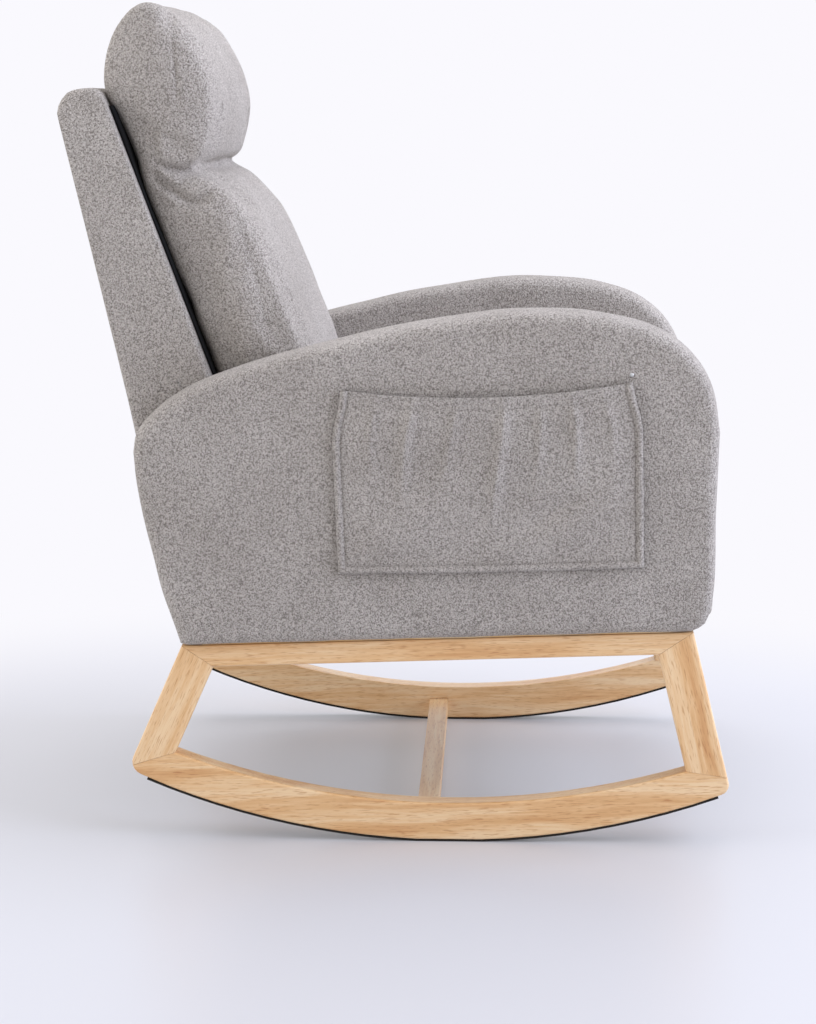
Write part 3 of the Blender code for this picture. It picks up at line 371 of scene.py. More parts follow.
pocket_u, pocket_v = np.meshgrid(np.linspace(0, 1, POCKET_COLUMNS + 1),
                                 np.linspace(0, 1, POCKET_ROWS + 1))
pocket_y, pocket_z = pocket_place(pocket_u, pocket_v)
arm_face = ARM_OUTER + FACE_SWELL + ARM_UNEVEN * unevenness(pocket_y, pocket_z) + SEAM_GAP
outside = np.stack([arm_face + pocket_height(pocket_u, pocket_v), pocket_y, pocket_z], axis=-1)
lining_side = outside - (CLOTH, 0, 0)
sewn_down = np.minimum(np.minimum(pocket_u, 1 - pocket_u), pocket_v) < MERGE
lining_side[sewn_down, 0] = arm_face[sewn_down]
pockets = {side: closed_sheet(f"{side}_pocket_patch", to_world(mirrored(outside, sign)),
                              to_world(mirrored(lining_side, sign))) for side, sign in SIDES}

# %% [markdown]
# ** The back.** A wedge of timber and foam with rounded edges, wide at the seat and narrow at the
# top. Its front is a plain black lining, which also serves as painted shade for the dark gap
# behind the cushions.

# %% The back's two faces
SHELL_HALF_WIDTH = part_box("back_shell")[1].x
FRONT_SLOPE, REAR_SLOPE = math.tan(math.radians(18.5)), math.tan(math.radians(9.55))
BACK_TOP, BACK_TOP_FRONT = 0.931, 0.4277
BACK_FOOT, REAR_FOOT, STEP_Y, STEP_Z = 0.2587, 0.3645, 0.3256, 0.3714
WAIST, WAIST_SLOPE = 0.57, 0.028          # above this height the rear leans this much more


def back_front(z):
    """The back's front face: y at height z."""
    return BACK_TOP_FRONT - (BACK_TOP - z) * FRONT_SLOPE


def back_rear(z):
    """The back's rear face: y at height z."""
    return REAR_FOOT + (z - ARM_FOOT) * REAR_SLOPE + WAIST_SLOPE * max(0.0, z - WAIST)


print("the back is", round(back_rear(0.6) - back_front(0.6), 3), "m thick at arm height")

# %% The back's cover
SHELL_POINTS, SHELL_TOP_POINTS = 90, 60
SHELL_EDGE, SHELL_UNEVEN = 0.009, 0.0006
JOIN = 0.56                               # height where the two halves of the outline meet
rear_join, front_join = (back_rear(JOIN) + 0.001, JOIN), (back_front(JOIN), JOIN)
shell_top = ((back_rear(0.75), 0.75), (back_rear(0.885), 0.885), (back_rear(0.905) - 0.0005, 0.905),
             (0.4755, 0.920), (0.464, 0.9295), (0.441, 0.9320), (0.4275, 0.926),
             (back_front(0.900), 0.900))
shell_upper = evenly(np.vstack([[rear_join], curve(shell_top, SHELL_TOP_POINTS), [front_join]]),
                     SHELL_POINTS)
shell_lower = evenly((rear_join, (REAR_FOOT, BACK_FOOT), (STEP_Y, BACK_FOOT), (STEP_Y, STEP_Z),
                      (back_front(STEP_Z), STEP_Z), front_join), SHELL_POINTS)
along = np.linspace(0, 1, SHELL_POINTS + 1)
shell_spine = np.stack([np.interp(along, (0, 0.5, 1), (0.372, 0.368, 0.345)),
                        np.interp(along, (0, 0.5, 1), (0.560, 0.600, 0.560))], axis=1)
shell_grid = padded_form(shell_upper, shell_lower, shell_spine, -SHELL_HALF_WIDTH,
                         SHELL_HALF_WIDTH, SHELL_EDGE, across=60, face_steps=12,
                         uneven=SHELL_UNEVEN)
back_cover = ring_object("back_cover", to_world(shell_grid))

# %% [markdown]
# ** The black lining.** The back's front is never seen in use, so it is closed with thin black
# cloth over a little wadding. The same black sheet also stands in for the deep shade in the gap
# beside the cushion, as painted shade. Its thickness changes with height, so that dark band is
# wider at some heights than at others.

# %% The lining
# height, and thickness of the padded cloth there, which also sets the width of the painted shade
# band
LINING = ((0.910, 0.0050), (0.865, 0.0048), (0.815, 0.0020), (0.775, 0.0020), (0.735, 0.0034),
          (0.670, 0.0028), (0.600, 0.0030), (0.480, 0.0034))
LINING_POINTS, LINING_ROWS = 60, 41
LINING_HALF_WIDTH = SHELL_HALF_WIDTH - 0.017
LINING_GAP = 0.0006                       # behind it, to the back's cover
height, thickness = curve(LINING, LINING_POINTS).T
rear_y = back_front(height) - LINING_GAP
front_side = np.column_stack([rear_y - thickness, height])
rear_side = np.column_stack([rear_y, height])[::-1]
centre_line = (front_side + rear_side[::-1]) / 2
lining_ring = np.vstack([front_side, rear_side])
closing_ring = np.vstack([centre_line, centre_line[::-1]])
lining_x = np.linspace(-LINING_HALF_WIDTH, LINING_HALF_WIDTH, LINING_ROWS)
lining_rings = [closing_ring, *[lining_ring] * LINING_ROWS, closing_ring]
lining_grid = np.stack([np.column_stack([np.full(len(ring), x), ring]) for x, ring in
                        zip((lining_x[0], *lining_x, lining_x[-1]), lining_rings)])
# a black sheet: partly real lining, partly painted shade in the gap behind the cushion
lining_shade_cloth = ring_object("back_lining_shade_cloth", to_world(lining_grid))

# %% [markdown]
# **Stuffing the cushions.** A loose cushion is a sewn cover, blown up by its filling until the
# cloth is tight. The cover starts a little too small and is remeshed evenly, so that the cloth
# has no favoured direction. Air pressure then fills it while its seams are held. No point may
# move further than a cap, which keeps the cushion inside its place on the chair.

# %% Read, move and bake vertices
def vertex_places(mesh):
    """All vertex places of a mesh, as one (count, 3) array."""
    places = np.empty(len(mesh.vertices) * 3)
    mesh.vertices.foreach_get("co", places)
    return places.reshape(-1, 3)


def move_vertices(piece, places):
    """Puts every vertex of a piece in its new place."""
    piece.data.vertices.foreach_set("co", np.ascontiguousarray(places, float).ravel())
    piece.data.update()


def bake(piece):
    """Gives the piece the mesh that its modifiers make of it, and removes them."""
    graph = bpy.context.evaluated_depsgraph_get()
    mesh = bpy.data.meshes.new_from_object(piece.evaluated_get(graph))
    piece.modifiers.clear()
    piece.data = mesh


# %% Stuff a cushion by cloth simulation
VOXEL = 0.006
CLOTH_FRAMES = 20
HELD_FROM = 0.01                          # weights under this aren't worth holding
CLOTH_SETTINGS = {"quality": 5, "mass": 0.25, "tension_stiffness": 60,
                  "compression_stiffness": 60, "bending_stiffness": 0.6, "use_pressure": True,
                  "uniform_pressure_force": 4.0, "vertex_group_mass": "seams"}


def stuff(piece, held, rest, start_inside, cap):
    """Shrinks the cover, remeshes it, blows it up and adds one subdivision. held(places) gives
    how firmly each vertex is kept, from 0 to 1. A move of length d becomes cap * tanh(d / cap).
    rest(places) puts back what went through a surface that the cushion rests on."""
    normals = np.empty(len(piece.data.vertices) * 3)
    piece.data.vertices.foreach_get("normal", normals)
    move_vertices(piece, vertex_places(piece.data) - start_inside * normals.reshape(-1, 3))
    remesh = piece.modifiers.new("even", "REMESH")
    remesh.mode, remesh.voxel_size = "VOXEL", VOXEL
    bake(piece)
    start = vertex_places(piece.data)
    seams = piece.vertex_groups.new(name="seams")
    weights = held(start)
    for index in np.flatnonzero(weights > HELD_FROM):
        seams.add([int(index)], float(weights[index]), "REPLACE")
    cloth = piece.modifiers.new("stuffing", "CLOTH")
    for setting, value in CLOTH_SETTINGS.items():
        setattr(cloth.settings, setting, value)
    cloth.settings.effector_weights.gravity = 0
    cloth.collision_settings.use_collision = False
    cloth.point_cache.frame_start, cloth.point_cache.frame_end = 1, CLOTH_FRAMES
    for step in range(1, CLOTH_FRAMES + 1):
        scene.frame_set(step)
    graph = bpy.context.evaluated_depsgraph_get()
    move = vertex_places(piece.evaluated_get(graph).data) - start
    length = np.maximum(np.linalg.norm(move, axis=1, keepdims=True), MERGE)
    piece.modifiers.clear()
    piece.vertex_groups.clear()
    scene.frame_set(1)
    move_vertices(piece, rest(start + move / length * cap * np.tanh(length / cap)))
    finer = piece.modifiers.new("finer", "SUBSURF")
    finer.levels = finer.render_levels = 1
    bake(piece)
    piece.data.shade_smooth()
    print(piece.name, len(piece.data.polygons), "faces, moves capped at", cap, "m")


# %% [markdown]
# **The back cushion.** One sewn cover holds two chambers: the cushion for the back, and a thick
# headrest roll above it. A row of stitching between them pulls the front in, and the fold runs
# round on to both ends, where it fades out.

# %% Outline of the cushion and its headrest
CUSHION_HALF_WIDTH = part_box("headrest")[1].x
HEAD_REAR = ((0.350, 1.0335), (0.367, 1.0385), (0.385, 1.033), (0.401, 1.018), (0.413, 1.000),
             (0.4225, 0.975), (0.4275, 0.946), (0.4240, 0.923), (0.414, 0.900), (0.4045, 0.872),
             (0.396, 0.845), (0.392, 0.827))
HEAD_FRONT = ((0.350, 1.0335), (0.334, 1.0200), (0.3155, 0.991), (0.3010, 0.960), (0.293, 0.928),
              (0.2915, 0.897), (0.2955, 0.866), (0.305, 0.8430), (0.330, 0.8312), (0.352, 0.8305))
BACK_REAR = ((0.392, 0.827), (0.3780, 0.780), (0.336, 0.663), (0.300, 0.556), (0.277, 0.489))
BACK_FRONT = ((0.352, 0.8285), (0.332, 0.8283), (0.309, 0.8240), (0.282, 0.808), (0.257, 0.775),
              (0.233, 0.724), (0.210, 0.662), (0.189, 0.602), (0.175, 0.545), (0.168, 0.500),
              (0.181, 0.478), (0.215, 0.474), (0.260, 0.475), (0.277, 0.489))
HEAD_SPINE = ((0.357, 0.985), (0.357, 0.930), (0.363, 0.870), (0.368, 0.832))
BACK_SPINE = ((0.368, 0.832), (0.342, 0.785), (0.282, 0.650), (0.230, 0.520))
HEAD_POINTS, TRUNK_POINTS = 70, 90
CUSHION_EDGE, CUSHION_SWELL, CUSHION_UNEVEN = 0.015, 0.004, 0.0015
pillow_rear = np.vstack([curve(HEAD_REAR, HEAD_POINTS), curve(BACK_REAR, TRUNK_POINTS)[1:]])
pillow_front = np.vstack([curve(HEAD_FRONT, HEAD_POINTS), curve(BACK_FRONT, TRUNK_POINTS)[1:]])
pillow_spine = np.vstack([curve(HEAD_SPINE, HEAD_POINTS), curve(BACK_SPINE, TRUNK_POINTS)[1:]])
pillow_grid = padded_form(pillow_rear, pillow_front, pillow_spine, -CUSHION_HALF_WIDTH,
                          CUSHION_HALF_WIDTH, CUSHION_EDGE, face=CUSHION_SWELL,
                          band=CUSHION_SWELL, across=64, edge_steps=10, face_steps=30,
                          uneven=CUSHION_UNEVEN)
print("cushion and headrest", round(np.ptp(pillow_grid[..., 2]), 3), "m high")

# %% [markdown]
# Where the stitching holds the front in, the spare cloth of both ends is thrown into folds. One
# deep fold runs in from the stitching, a second one curves below it, and shorter creases stand
# in the headrest and in the cushion. They are pressed in last, because remeshing would lose them.

# %% Folds on the cushion's ends
FOLD_STEPS = 24
# each fold: its line in the side view, its depth and its half width
END_FOLDS = (
    (((0.300, 0.826), (0.331, 0.8285), (0.350, 0.8335), (0.366, 0.8400)), 0.014, 0.0055),
    (((0.306, 0.795), (0.320, 0.791), (0.334, 0.7955), (0.351, 0.809), (0.368, 0.822)),
     0.0115, 0.0060),
    (((0.272, 0.775), (0.258, 0.725), (0.244, 0.660), (0.238, 0.610)), 0.0020, 0.0030),
    (((0.341, 0.990), (0.337, 0.950), (0.336, 0.905)), 0.0025, 0.0030),
    (((0.346, 1.031), (0.341, 1.018), (0.339, 1.004)), 0.0160, 0.0085))


def rolled(points):
    """Side-view points, rolled back with the chair: (y, z) in the world."""
    points = np.asarray(points, float)
    return to_world(np.column_stack([np.zeros(len(points)), points]))[:, 1:]


def fold_depth(places, line, depth, half):
    """Depth of one fold at each place: a bell curve away from the line, and faded towards the
    line's ends by the root of a half sine wave."""
    line = curve(rolled(line), FOLD_STEPS)
    gap = np.linalg.norm(places[:, None, 1:] - line, axis=-1)
    along_line = gap.argmin(axis=-1) / FOLD_STEPS
    fade = np.sqrt(np.sin(np.pi * (along_line * 0.9 + 0.05)))
    return depth * fade * bell(gap.min(axis=-1), half)


def press_folds(piece, folds, reach):
    """Presses folds into both ends of a cushion, fading out over a reach from each end."""
    places = vertex_places(piece.data)
    half_width = np.abs(places[:, 0]).max()
    on_end = smoothstep(half_width - reach, half_width - 0.3 * reach, np.abs(places[:, 0]))
    for line, depth, half in folds:
        places[:, 0] -= np.sign(places[:, 0]) * on_end * fold_depth(places, line, depth, half)
    move_vertices(piece, places)


print(len(END_FOLDS), "folds on each end")

# %% Stuff the back cushion and press its folds
CREASE, CREASE_STEPS, HELD_STITCHES = ((0.300, 0.829), (0.330, 0.829), (0.350, 0.8295)), 12, 3
HOLD_NEAR, HOLD_FAR = 0.004, 0.016


def held_at_crease(places):
    """Firm on the innermost stitches of the crease between the headrest and the cushion."""
    line = rolled(curve(CREASE, CREASE_STEPS))[-HELD_STITCHES:]
    gap = np.linalg.norm(places[:, None, 1:] - line, axis=-1).min(axis=1)
    return smoothstep(HOLD_FAR, HOLD_NEAR, gap)


def against_back(places):
    """No point goes behind the cushion's rear line, where it leans on the back."""
    line = rolled(BACK_REAR[::-1] + HEAD_REAR[-2:-5:-1])
    limit = np.interp(places[:, 2], line[:, 1], line[:, 0])
    leaning = places[:, 2] < line[-1, 1]
    places[:, 1] = np.where(leaning, np.minimum(places[:, 1], limit), places[:, 1])
    return places


back_pillow = ring_object("back_pillow", to_world(pillow_grid))
stuff(back_pillow, held_at_crease, against_back, start_inside=0.003, cap=0.006)
press_folds(back_pillow, END_FOLDS, reach=0.045)

# %% [markdown]
# **The seat.** A loose box cushion lies on the sprung platform, between the arms. It is crowned
# by its filling, and its front edge is a full, soft nose over the padded apron.

# %% Seat cushion
SEAT_HALF_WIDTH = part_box("seat_cushion")[1].x
SEAT_POINTS, SEAT_LOW = 90, 0.3716
SEAT_EDGE, SEAT_SWELL, SEAT_UNEVEN = 0.020, 0.003, 0.0016
seat_rear = back_front(SEAT_LOW) - 0.002
seat_top = curve(((seat_rear, 0.420), (seat_rear - 0.003, 0.448), (seat_rear - 0.020, 0.463),
                  (0.130, 0.4690), (-0.020, 0.4716), (-0.180, 0.4715), (-0.262, 0.4655),
                  (-0.291, 0.452), (-0.3045, 0.430), (-0.3055, 0.410)), SEAT_POINTS)
seat_bottom = curve(((seat_rear, 0.420), (seat_rear - 0.002, 0.392), (seat_rear - 0.022, 0.3735),
                     (0.130, 0.3718), (-0.180, 0.3718), (-0.276, 0.3722), (-0.298, 0.3800),
                     (-0.3055, 0.410)), SEAT_POINTS)
seat_spine = curve(((0.190, 0.420), (-0.030, 0.420), (-0.250, 0.414)), SEAT_POINTS)
seat_grid = padded_form(seat_top, seat_bottom, seat_spine, -SEAT_HALF_WIDTH, SEAT_HALF_WIDTH,
                        SEAT_EDGE, band=SEAT_SWELL, across=64, edge_steps=8, face_steps=12,
                        uneven=SEAT_UNEVEN)
seat_pillow = ring_object("seat_pillow", to_world(seat_grid))


def held_underneath(places):
    """Firm on the flat underside, which rests on the sprung platform."""
    level = places[:, 2] + places[:, 1] * math.tan(TILT)
    return smoothstep(0.010, 0.002, level - level.min())


def between_arms(places):
    """The cushion rests on the platform and touches the arms, but goes through neither."""
    slope = places[:, 1] * math.tan(TILT)
    platform = rolled([(0, SEAT_LOW)])[0, 1]
    places[:, 0] = places[:, 0].clip(-SEAT_HALF_WIDTH, SEAT_HALF_WIDTH)
    places[:, 2] = np.maximum(places[:, 2] + slope, platform) - slope
    return places


stuff(seat_pillow, held_underneath, between_arms, start_inside=0.005, cap=0.010)

# %% [markdown]
# **The apron** is a board with a thin pad under the fleece. It closes the front of the seat box
# between the arms. Its pad is tight, so it needs no simulation: a small belly is enough.

# %% Apron
APRON_POINTS, APRON_EDGE = 60, 0.005
APRON_TOP, APRON_BOTTOM = (-0.292, 0.3700), (-0.292, 0.2590)
apron_front = curve((APRON_TOP, (-0.298, 0.3665), (-0.3005, 0.355), (-0.3025, 0.315),
                     (-0.3005, 0.275), (-0.298, 0.2630), APRON_BOTTOM), APRON_POINTS)
apron_rear = evenly((APRON_TOP, (-0.2853, 0.3700), (-0.2853, 0.2590), APRON_BOTTOM), APRON_POINTS)
apron_spine = evenly(((-0.2935, 0.360), (-0.2935, 0.269)), APRON_POINTS)
apron_grid = padded_form(apron_front, apron_rear, apron_spine, -SEAT_HALF_WIDTH, SEAT_HALF_WIDTH,
                         APRON_EDGE, across=40, face_steps=4)
apron_cover = ring_object("apron_cover", to_world(apron_grid))

# %% [markdown]
# **Finishes.** Colours are written as sRGB hex values, as on a paint chart, and one function
# turns them into the linear values that a shader works with. One more function adds a node with
# its settings and its links.

# %% Colours and nodes
def linear(hex_colour):
    """sRGB hex to linear RGBA: c / 12.92 below 0.04045, ((c + 0.055) / 1.055) ^ 2.4 above it."""
    channels = [int(hex_colour[i:i + 2], 16) / 255 for i in (1, 3, 5)]
    return (*(c / 12.92 if c <= 0.04045 else ((c + 0.055) / 1.055) ** 2.4 for c in channels), 1.0)


def add(tree, kind, links=None, values=None, stops=(), **settings):
    """A shader node of a kind. links and values name input sockets, or number them where names
    repeat; stops are a colour ramp's (place, hex colour) pairs; settings are properties."""
    node = tree.nodes.new("ShaderNode" + kind)
    for name, value in settings.items():
        setattr(node, name, value)
    for socket, value in (values or {}).items():
        node.inputs[socket].default_value = value
    for socket, source in (links or {}).items():
        tree.links.new(source, node.inputs[socket])
    for _ in stops[2:]:
        node.color_ramp.elements.new(0.5)
    for number, (place, colour) in enumerate(stops):
        node.color_ramp.elements[number].position = place
        node.color_ramp.elements[number].color = linear(colour)
    return node


def new_material(name, **shader):
    """A material, its node tree, its Principled shader with some sockets set, and the object
    coordinates, in metres."""
    material = bpy.data.materials.new(name)
    material.use_nodes = True
    tree = material.node_tree
    principled = tree.nodes["Principled BSDF"]
    for key, value in shader.items():
        principled.inputs[key.replace("_", " ")].default_value = value
    return material, tree, principled, add(tree, "TexCoord").outputs["Object"]


def join(tree, shader, colour, height, strength, distance):
    """Links a colour to the shader, and a height through a bump of that strength and depth."""
    bump = add(tree, "Bump", {"Height": height}, {"Strength": strength, "Distance": distance})
    tree.links.new(colour, shader.inputs["Base Color"])
    tree.links.new(bump.outputs["Normal"], shader.inputs["Normal"])


ROOM_WHITE = "#faf9fe"
print("the room's white is", [round(c, 3) for c in linear(ROOM_WHITE)])

# %% [markdown]
# ** Teddy fleece** is a knitted polyester whose loops are brushed into tight curls, two to three
# millimetres across. The eye sees pale curls with dark gaps between them, no gloss at all, and a
# faint pale rim where the fibres catch the light edge-on. A cell pattern makes the clumps and a
# noise makes the curls. Their sum drives both the relief and the colour: the gaps are deep, and
# the colour darkens there as painted shade in the hollows of the pile. A single fibre is too fine
# to show, so the finest noise is drawn as coarse as it needs to show: a curl of one and a half
# millimetres.

# %% Grey teddy fleece
CURL = 0.0015                       # metres between the middles of neighbouring curls
CLUMP = 0.0025                      # curls that lean together
PATCH = 0.09                        # slow changes, where a hand has brushed the pile
PILE = 0.0028                       # depth of the relief
CLUMP_SHARE = -0.30                 # a clump's middle stands out, its rim sinks in
COLOUR_A, COLOUR_B, MIXED = 6, 7, 2     # a Mix node has sockets of the same name, so: by number


def fleece(name, light, middle, dark):
    """Knitted polyester pile: rough, without gloss, with a faint sheen at grazing angles."""
    material, tree, shader, place = new_material(
        name, Roughness=0.95, Specular_IOR_Level=0.15, Sheen_Weight=0.22, Sheen_Roughness=0.55,
        Sheen_Tint=linear("#f4f1ee"))
    curls = add(tree, "TexNoise", {"Vector": place},
                {"Scale": 1 / CURL, "Detail": 1.5, "Roughness": 0.6, "Distortion": 0.8})
    clumps = add(tree, "TexVoronoi", {"Vector": place},
                 {"Scale": 1 / CLUMP, "Smoothness": 0.7, "Randomness": 1.0}, feature="SMOOTH_F1")
    patches = add(tree, "TexNoise", {"Vector": place}, {"Scale": 1 / PATCH, "Detail": 2.0})
    height = add(tree, "Math", {0: clumps.outputs["Distance"], 2: curls.outputs["Fac"]},
                 {1: CLUMP_SHARE}, operation="MULTIPLY_ADD")
    # painted shade: the ramp darkens the colour where the pile sinks, in the hollows between curls
    colour = add(tree, "ValToRGB", {"Fac": height.outputs[0]},
                 stops=((0.22, dark), (0.35, middle), (0.50, light)))
    worn = add(tree, "ValToRGB", {"Fac": patches.outputs["Fac"]},
               stops=((0.30, "#f2f1f0"), (0.70, "#ffffff")))
    mix = add(tree, "Mix", {COLOUR_A: colour.outputs["Color"], COLOUR_B: worn.outputs["Color"]},
              {"Factor": 1.0}, data_type="RGBA", blend_type="MULTIPLY")
    join(tree, shader, mix.outputs[MIXED], height.outputs[0], 0.9, PILE)
    return material


# the darkest of the three colours is painted shade between the curls
teddy = fleece("teddy_fleece_grey", "#d2ccc7", "#b4aea8", "#847e78")
print(teddy.name, "with curls every", CURL * 1000, "mm")

# %% [markdown]
# **Rubberwood** is pale and even. The eye sees soft darker bands 16 mm apart, finer streaks in
# them, short pores about a millimetre apart, and a satin shine from a thin coat of lacquer. Real
# pores are a tenth of that, but would not show. Each kind of board has its own grain direction,
# so each gets a copy of the material whose coordinates are turned to run along it.

# %% Rubberwood, along any direction
BAND, STREAK, PORE = 0.016, 0.0034, 0.0011      # metres between bands, streaks and pores
PORE_LENGTH, STREAK_LENGTH = 14, 20             # times longer than wide
WAVER, WAVER_SIZE = 0.012, 1 / 7                # how far the grain wanders, over what length
PORE_DEPTH = 0.0004
WOOD = ((0.52, "#d49f67"), (0.70, "#e3b680"), (0.80, "#eac290"), (0.96, "#f2d2a6"))


def rubberwood(name, angle, seed, across_x=False):
    """Lacquered rubberwood whose grain runs along Y, turned by an angle in the side view, or
    along X. The seed shifts the pattern, so that no two boards show the same figure."""
    material, tree, shader, place = new_material(
        name, Roughness=0.42, Specular_IOR_Level=0.45, Coat_Weight=0.45, Coat_Roughness=0.28)
    turn = (0, 0, math.pi / 2) if across_x else (-angle, 0, 0)
    board = add(tree, "Mapping", {"Vector": place},
                {"Rotation": turn, "Location": (seed,) * 3}).outputs[0]
    drawn = add(tree, "Mapping", {"Vector": board}, {"Scale": (1, 1 / STREAK_LENGTH, 1)})
    warp = add(tree, "TexNoise", {"Vector": board}, {"Scale": 1 / WAVER_SIZE, "Detail": 1.0})
    bent = add(tree, "VectorMath", {0: warp.outputs["Color"], 2: drawn.outputs[0]},
               {1: (WAVER, 0.0, WAVER)}, operation="MULTIPLY_ADD").outputs[0]
    bands = add(tree, "TexNoise", {"Vector": bent}, {"Scale": 1 / BAND, "Detail": 2.0})
    streaks = add(tree, "TexNoise", {"Vector": bent},
                  {"Scale": 1 / STREAK, "Detail": 3.0, "Roughness": 0.6})
    short = add(tree, "Mapping", {"Vector": board}, {"Scale": (1, 1 / PORE_LENGTH, 1)})
    pores = add(tree, "TexNoise", {"Vector": short.outputs[0]}, {"Scale": 1 / PORE, "Detail": 1.0})
    grain = add(tree, "Math", {0: streaks.outputs["Fac"], 2: bands.outputs["Fac"]}, {1: 0.55},
                operation="MULTIPLY_ADD")
    colour = add(tree, "ValToRGB", {"Fac": grain.outputs[0]}, stops=WOOD)
    dark_pores = add(tree, "ValToRGB", {"Fac": pores.outputs["Fac"]},
                     stops=((0.30, "#c9a075"), (0.42, "#ffffff")))
    mix = add(tree, "Mix", {COLOUR_A: colour.outputs["Color"],
                            COLOUR_B: dark_pores.outputs["Color"]},
              {"Factor": 0.55}, data_type="RGBA", blend_type="MULTIPLY")
    join(tree, shader, mix.outputs[MIXED], pores.outputs["Fac"], 0.12, PORE_DEPTH)
    return material


UPRIGHT = math.pi / 2
REAR_SPLAY, FRONT_SPLAY = math.radians(25.8), math.radians(11.8)
rail_wood = rubberwood("rubberwood_rail", -TILT, 0.3)
rocker_wood = rubberwood("rubberwood_rocker", -TILT, 1.1)
rear_leg_wood = rubberwood("rubberwood_rear_leg", REAR_SPLAY - UPRIGHT - TILT, 2.7)
front_leg_wood = rubberwood("rubberwood_front_leg", -FRONT_SPLAY - UPRIGHT - TILT, 4.2)
bar_wood = rubberwood("rubberwood_cross_bar", 0, 5.9, across_x=True)
print("rubberwood in five grain directions")

# %% [markdown]
# **The hidden materials** still get their own finish, because the chair can be turned over or
# taken apart. Pine shows wide soft bands along the board, and plywood shows thin stacked lines.
# Spunbond is black, with fibres that catch a little light, and the felt strip under each rocker
# is a warmer, duller black. Zinc gives the bolts and tacks a bright, slightly uneven shine, and
# oil makes the springs dark. Fibres are drawn at about a millimetre, coarser than real ones,
# because finer ones wouldn't show.

# %% Pine, plywood, black cloths and steel
def matt(name, light, dark, spacing, stretch=(1, 1, 1), steps=(0.35, 0.65), roughness=0.9,
         specular=0.2, relief=(0.4, 0.0005), **noise):
    """A dull material of two colours mixed by one noise, which may be stretched into grain."""
    material, tree, shader, place = new_material(name, Roughness=roughness,
                                                 Specular_IOR_Level=specular)
    stretched = add(tree, "Mapping", {"Vector": place}, {"Scale": stretch})
    pattern = add(tree, "TexNoise", {"Vector": stretched.outputs[0]},
                  {"Scale": 1 / spacing, "Detail": 3.0, **noise})
    colour = add(tree, "ValToRGB", {"Fac": pattern.outputs["Fac"]},
                 stops=((steps[0], dark), (steps[1], light)))
    join(tree, shader, colour.outputs["Color"], pattern.outputs["Fac"], *relief)
    return material


def steel(name, colour, roughness, scratch):
    """A metal whose polish varies over small marks."""
    material, tree, shader, place = new_material(name, Metallic=1.0, Base_Color=linear(colour))
    marks = add(tree, "TexNoise", {"Vector": place}, {"Scale": 1 / scratch, "Detail": 2.0})
    spread = add(tree, "MapRange", {"Value": marks.outputs["Fac"]},
                 {"To Min": roughness - 0.08, "To Max": roughness + 0.10})
    tree.links.new(spread.outputs["Result"], shader.inputs["Roughness"])
    return material


SAWN = {"steps": (0.35, 0.62), "roughness": 0.7, "specular": 0.3, "relief": (0.25, 0.0006),
        "Distortion": 0.4}
pine = matt("planed_pine", "#e2c79b", "#c79d66", 0.006, stretch=(1, 0.05, 1), **SAWN)
plywood = matt("birch_plywood", "#dcc193", "#b88f5e", 0.0030, stretch=(1, 0.4, 0.06), **SAWN)
spunbond = matt("black_spunbond", "#1c1c1e", "#0b0b0c", 0.0012, Roughness=0.7)
felt = matt("black_wool_felt", "#3b3733", "#1d1b19", 0.0008, Roughness=0.7)
zinc = steel("zinc_plated_steel", "#c9cacb", 0.30, 0.0006)
spring_wire = steel("oiled_spring_steel", "#5b5c60", 0.38, 0.0015)
print("six hidden materials")

# %% [markdown]
# Timber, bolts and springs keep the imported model's own meshes, because their shapes are already
# right. They only need a finish, and their names tell which one.

# %% Every node of the model gets its finish
# the first word that a node's name holds decides; the covered pads keep the fleece
BY_WORD = (("back_top_rail", pine), ("top_rail", rail_wood), ("rocker", rocker_wood),
           ("rear_leg", rear_leg_wood), ("front_leg", front_leg_wood), ("stretcher", bar_wood),
           ("floor_strip", felt), ("panel", plywood), ("bolt", zinc), ("tack", zinc),
           ("spring", spring_wire), ("deck", spunbond), ("dust", spunbond), ("lining", spunbond),
           ("sill", pine), ("post", pine), ("stile", pine), ("seat_rail", pine),
           ("lower_rail", pine))


def dress(piece, material):
    """One material on the whole piece."""
    piece.data.materials.clear()
    piece.data.materials.append(material)


for name, node in nodes.items():
    dress(node, next((material for word, material in BY_WORD if word in name), teddy))
print(len(bpy.data.materials), "materials on", len(nodes), "nodes")

# %% [markdown]
# Each new piece hides the model's part that it replaces, gets its finish and moves with the root
# body. The pockets are sheets.

# %% The soft pieces take the place of the model's parts
for side, _ in SIDES:
    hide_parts(f"{side}_arm_pad")
    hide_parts(f"{side}_pocket")
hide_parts("back_shell")
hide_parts("back_lining")
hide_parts("back_cushion", "headrest")
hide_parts("seat_cushion")
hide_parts("front_apron")
fleece_pieces = [*arm_covers.values(), *pockets.values(), back_cover, back_pillow, seat_pillow,
                 apron_cover]
for piece in fleece_pieces:
    dress(piece, teddy)
    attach(piece, "root")
dress(lining_shade_cloth, spunbond)
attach(lining_shade_cloth, "root")
print(len(fleece_pieces) + 1, "soft pieces")

# %% [markdown]
# **The studio.** The floor is a painted board, pale grey and a little glossy, so that it mirrors
# the rockers softly. It is grey around the chair and turns into the white of the room between
# 0.95 and 1.65 m from its middle, so no edge or horizon shows from any side. It glows very
# slightly, which lifts the shadow the way light from a white studio's far walls would.

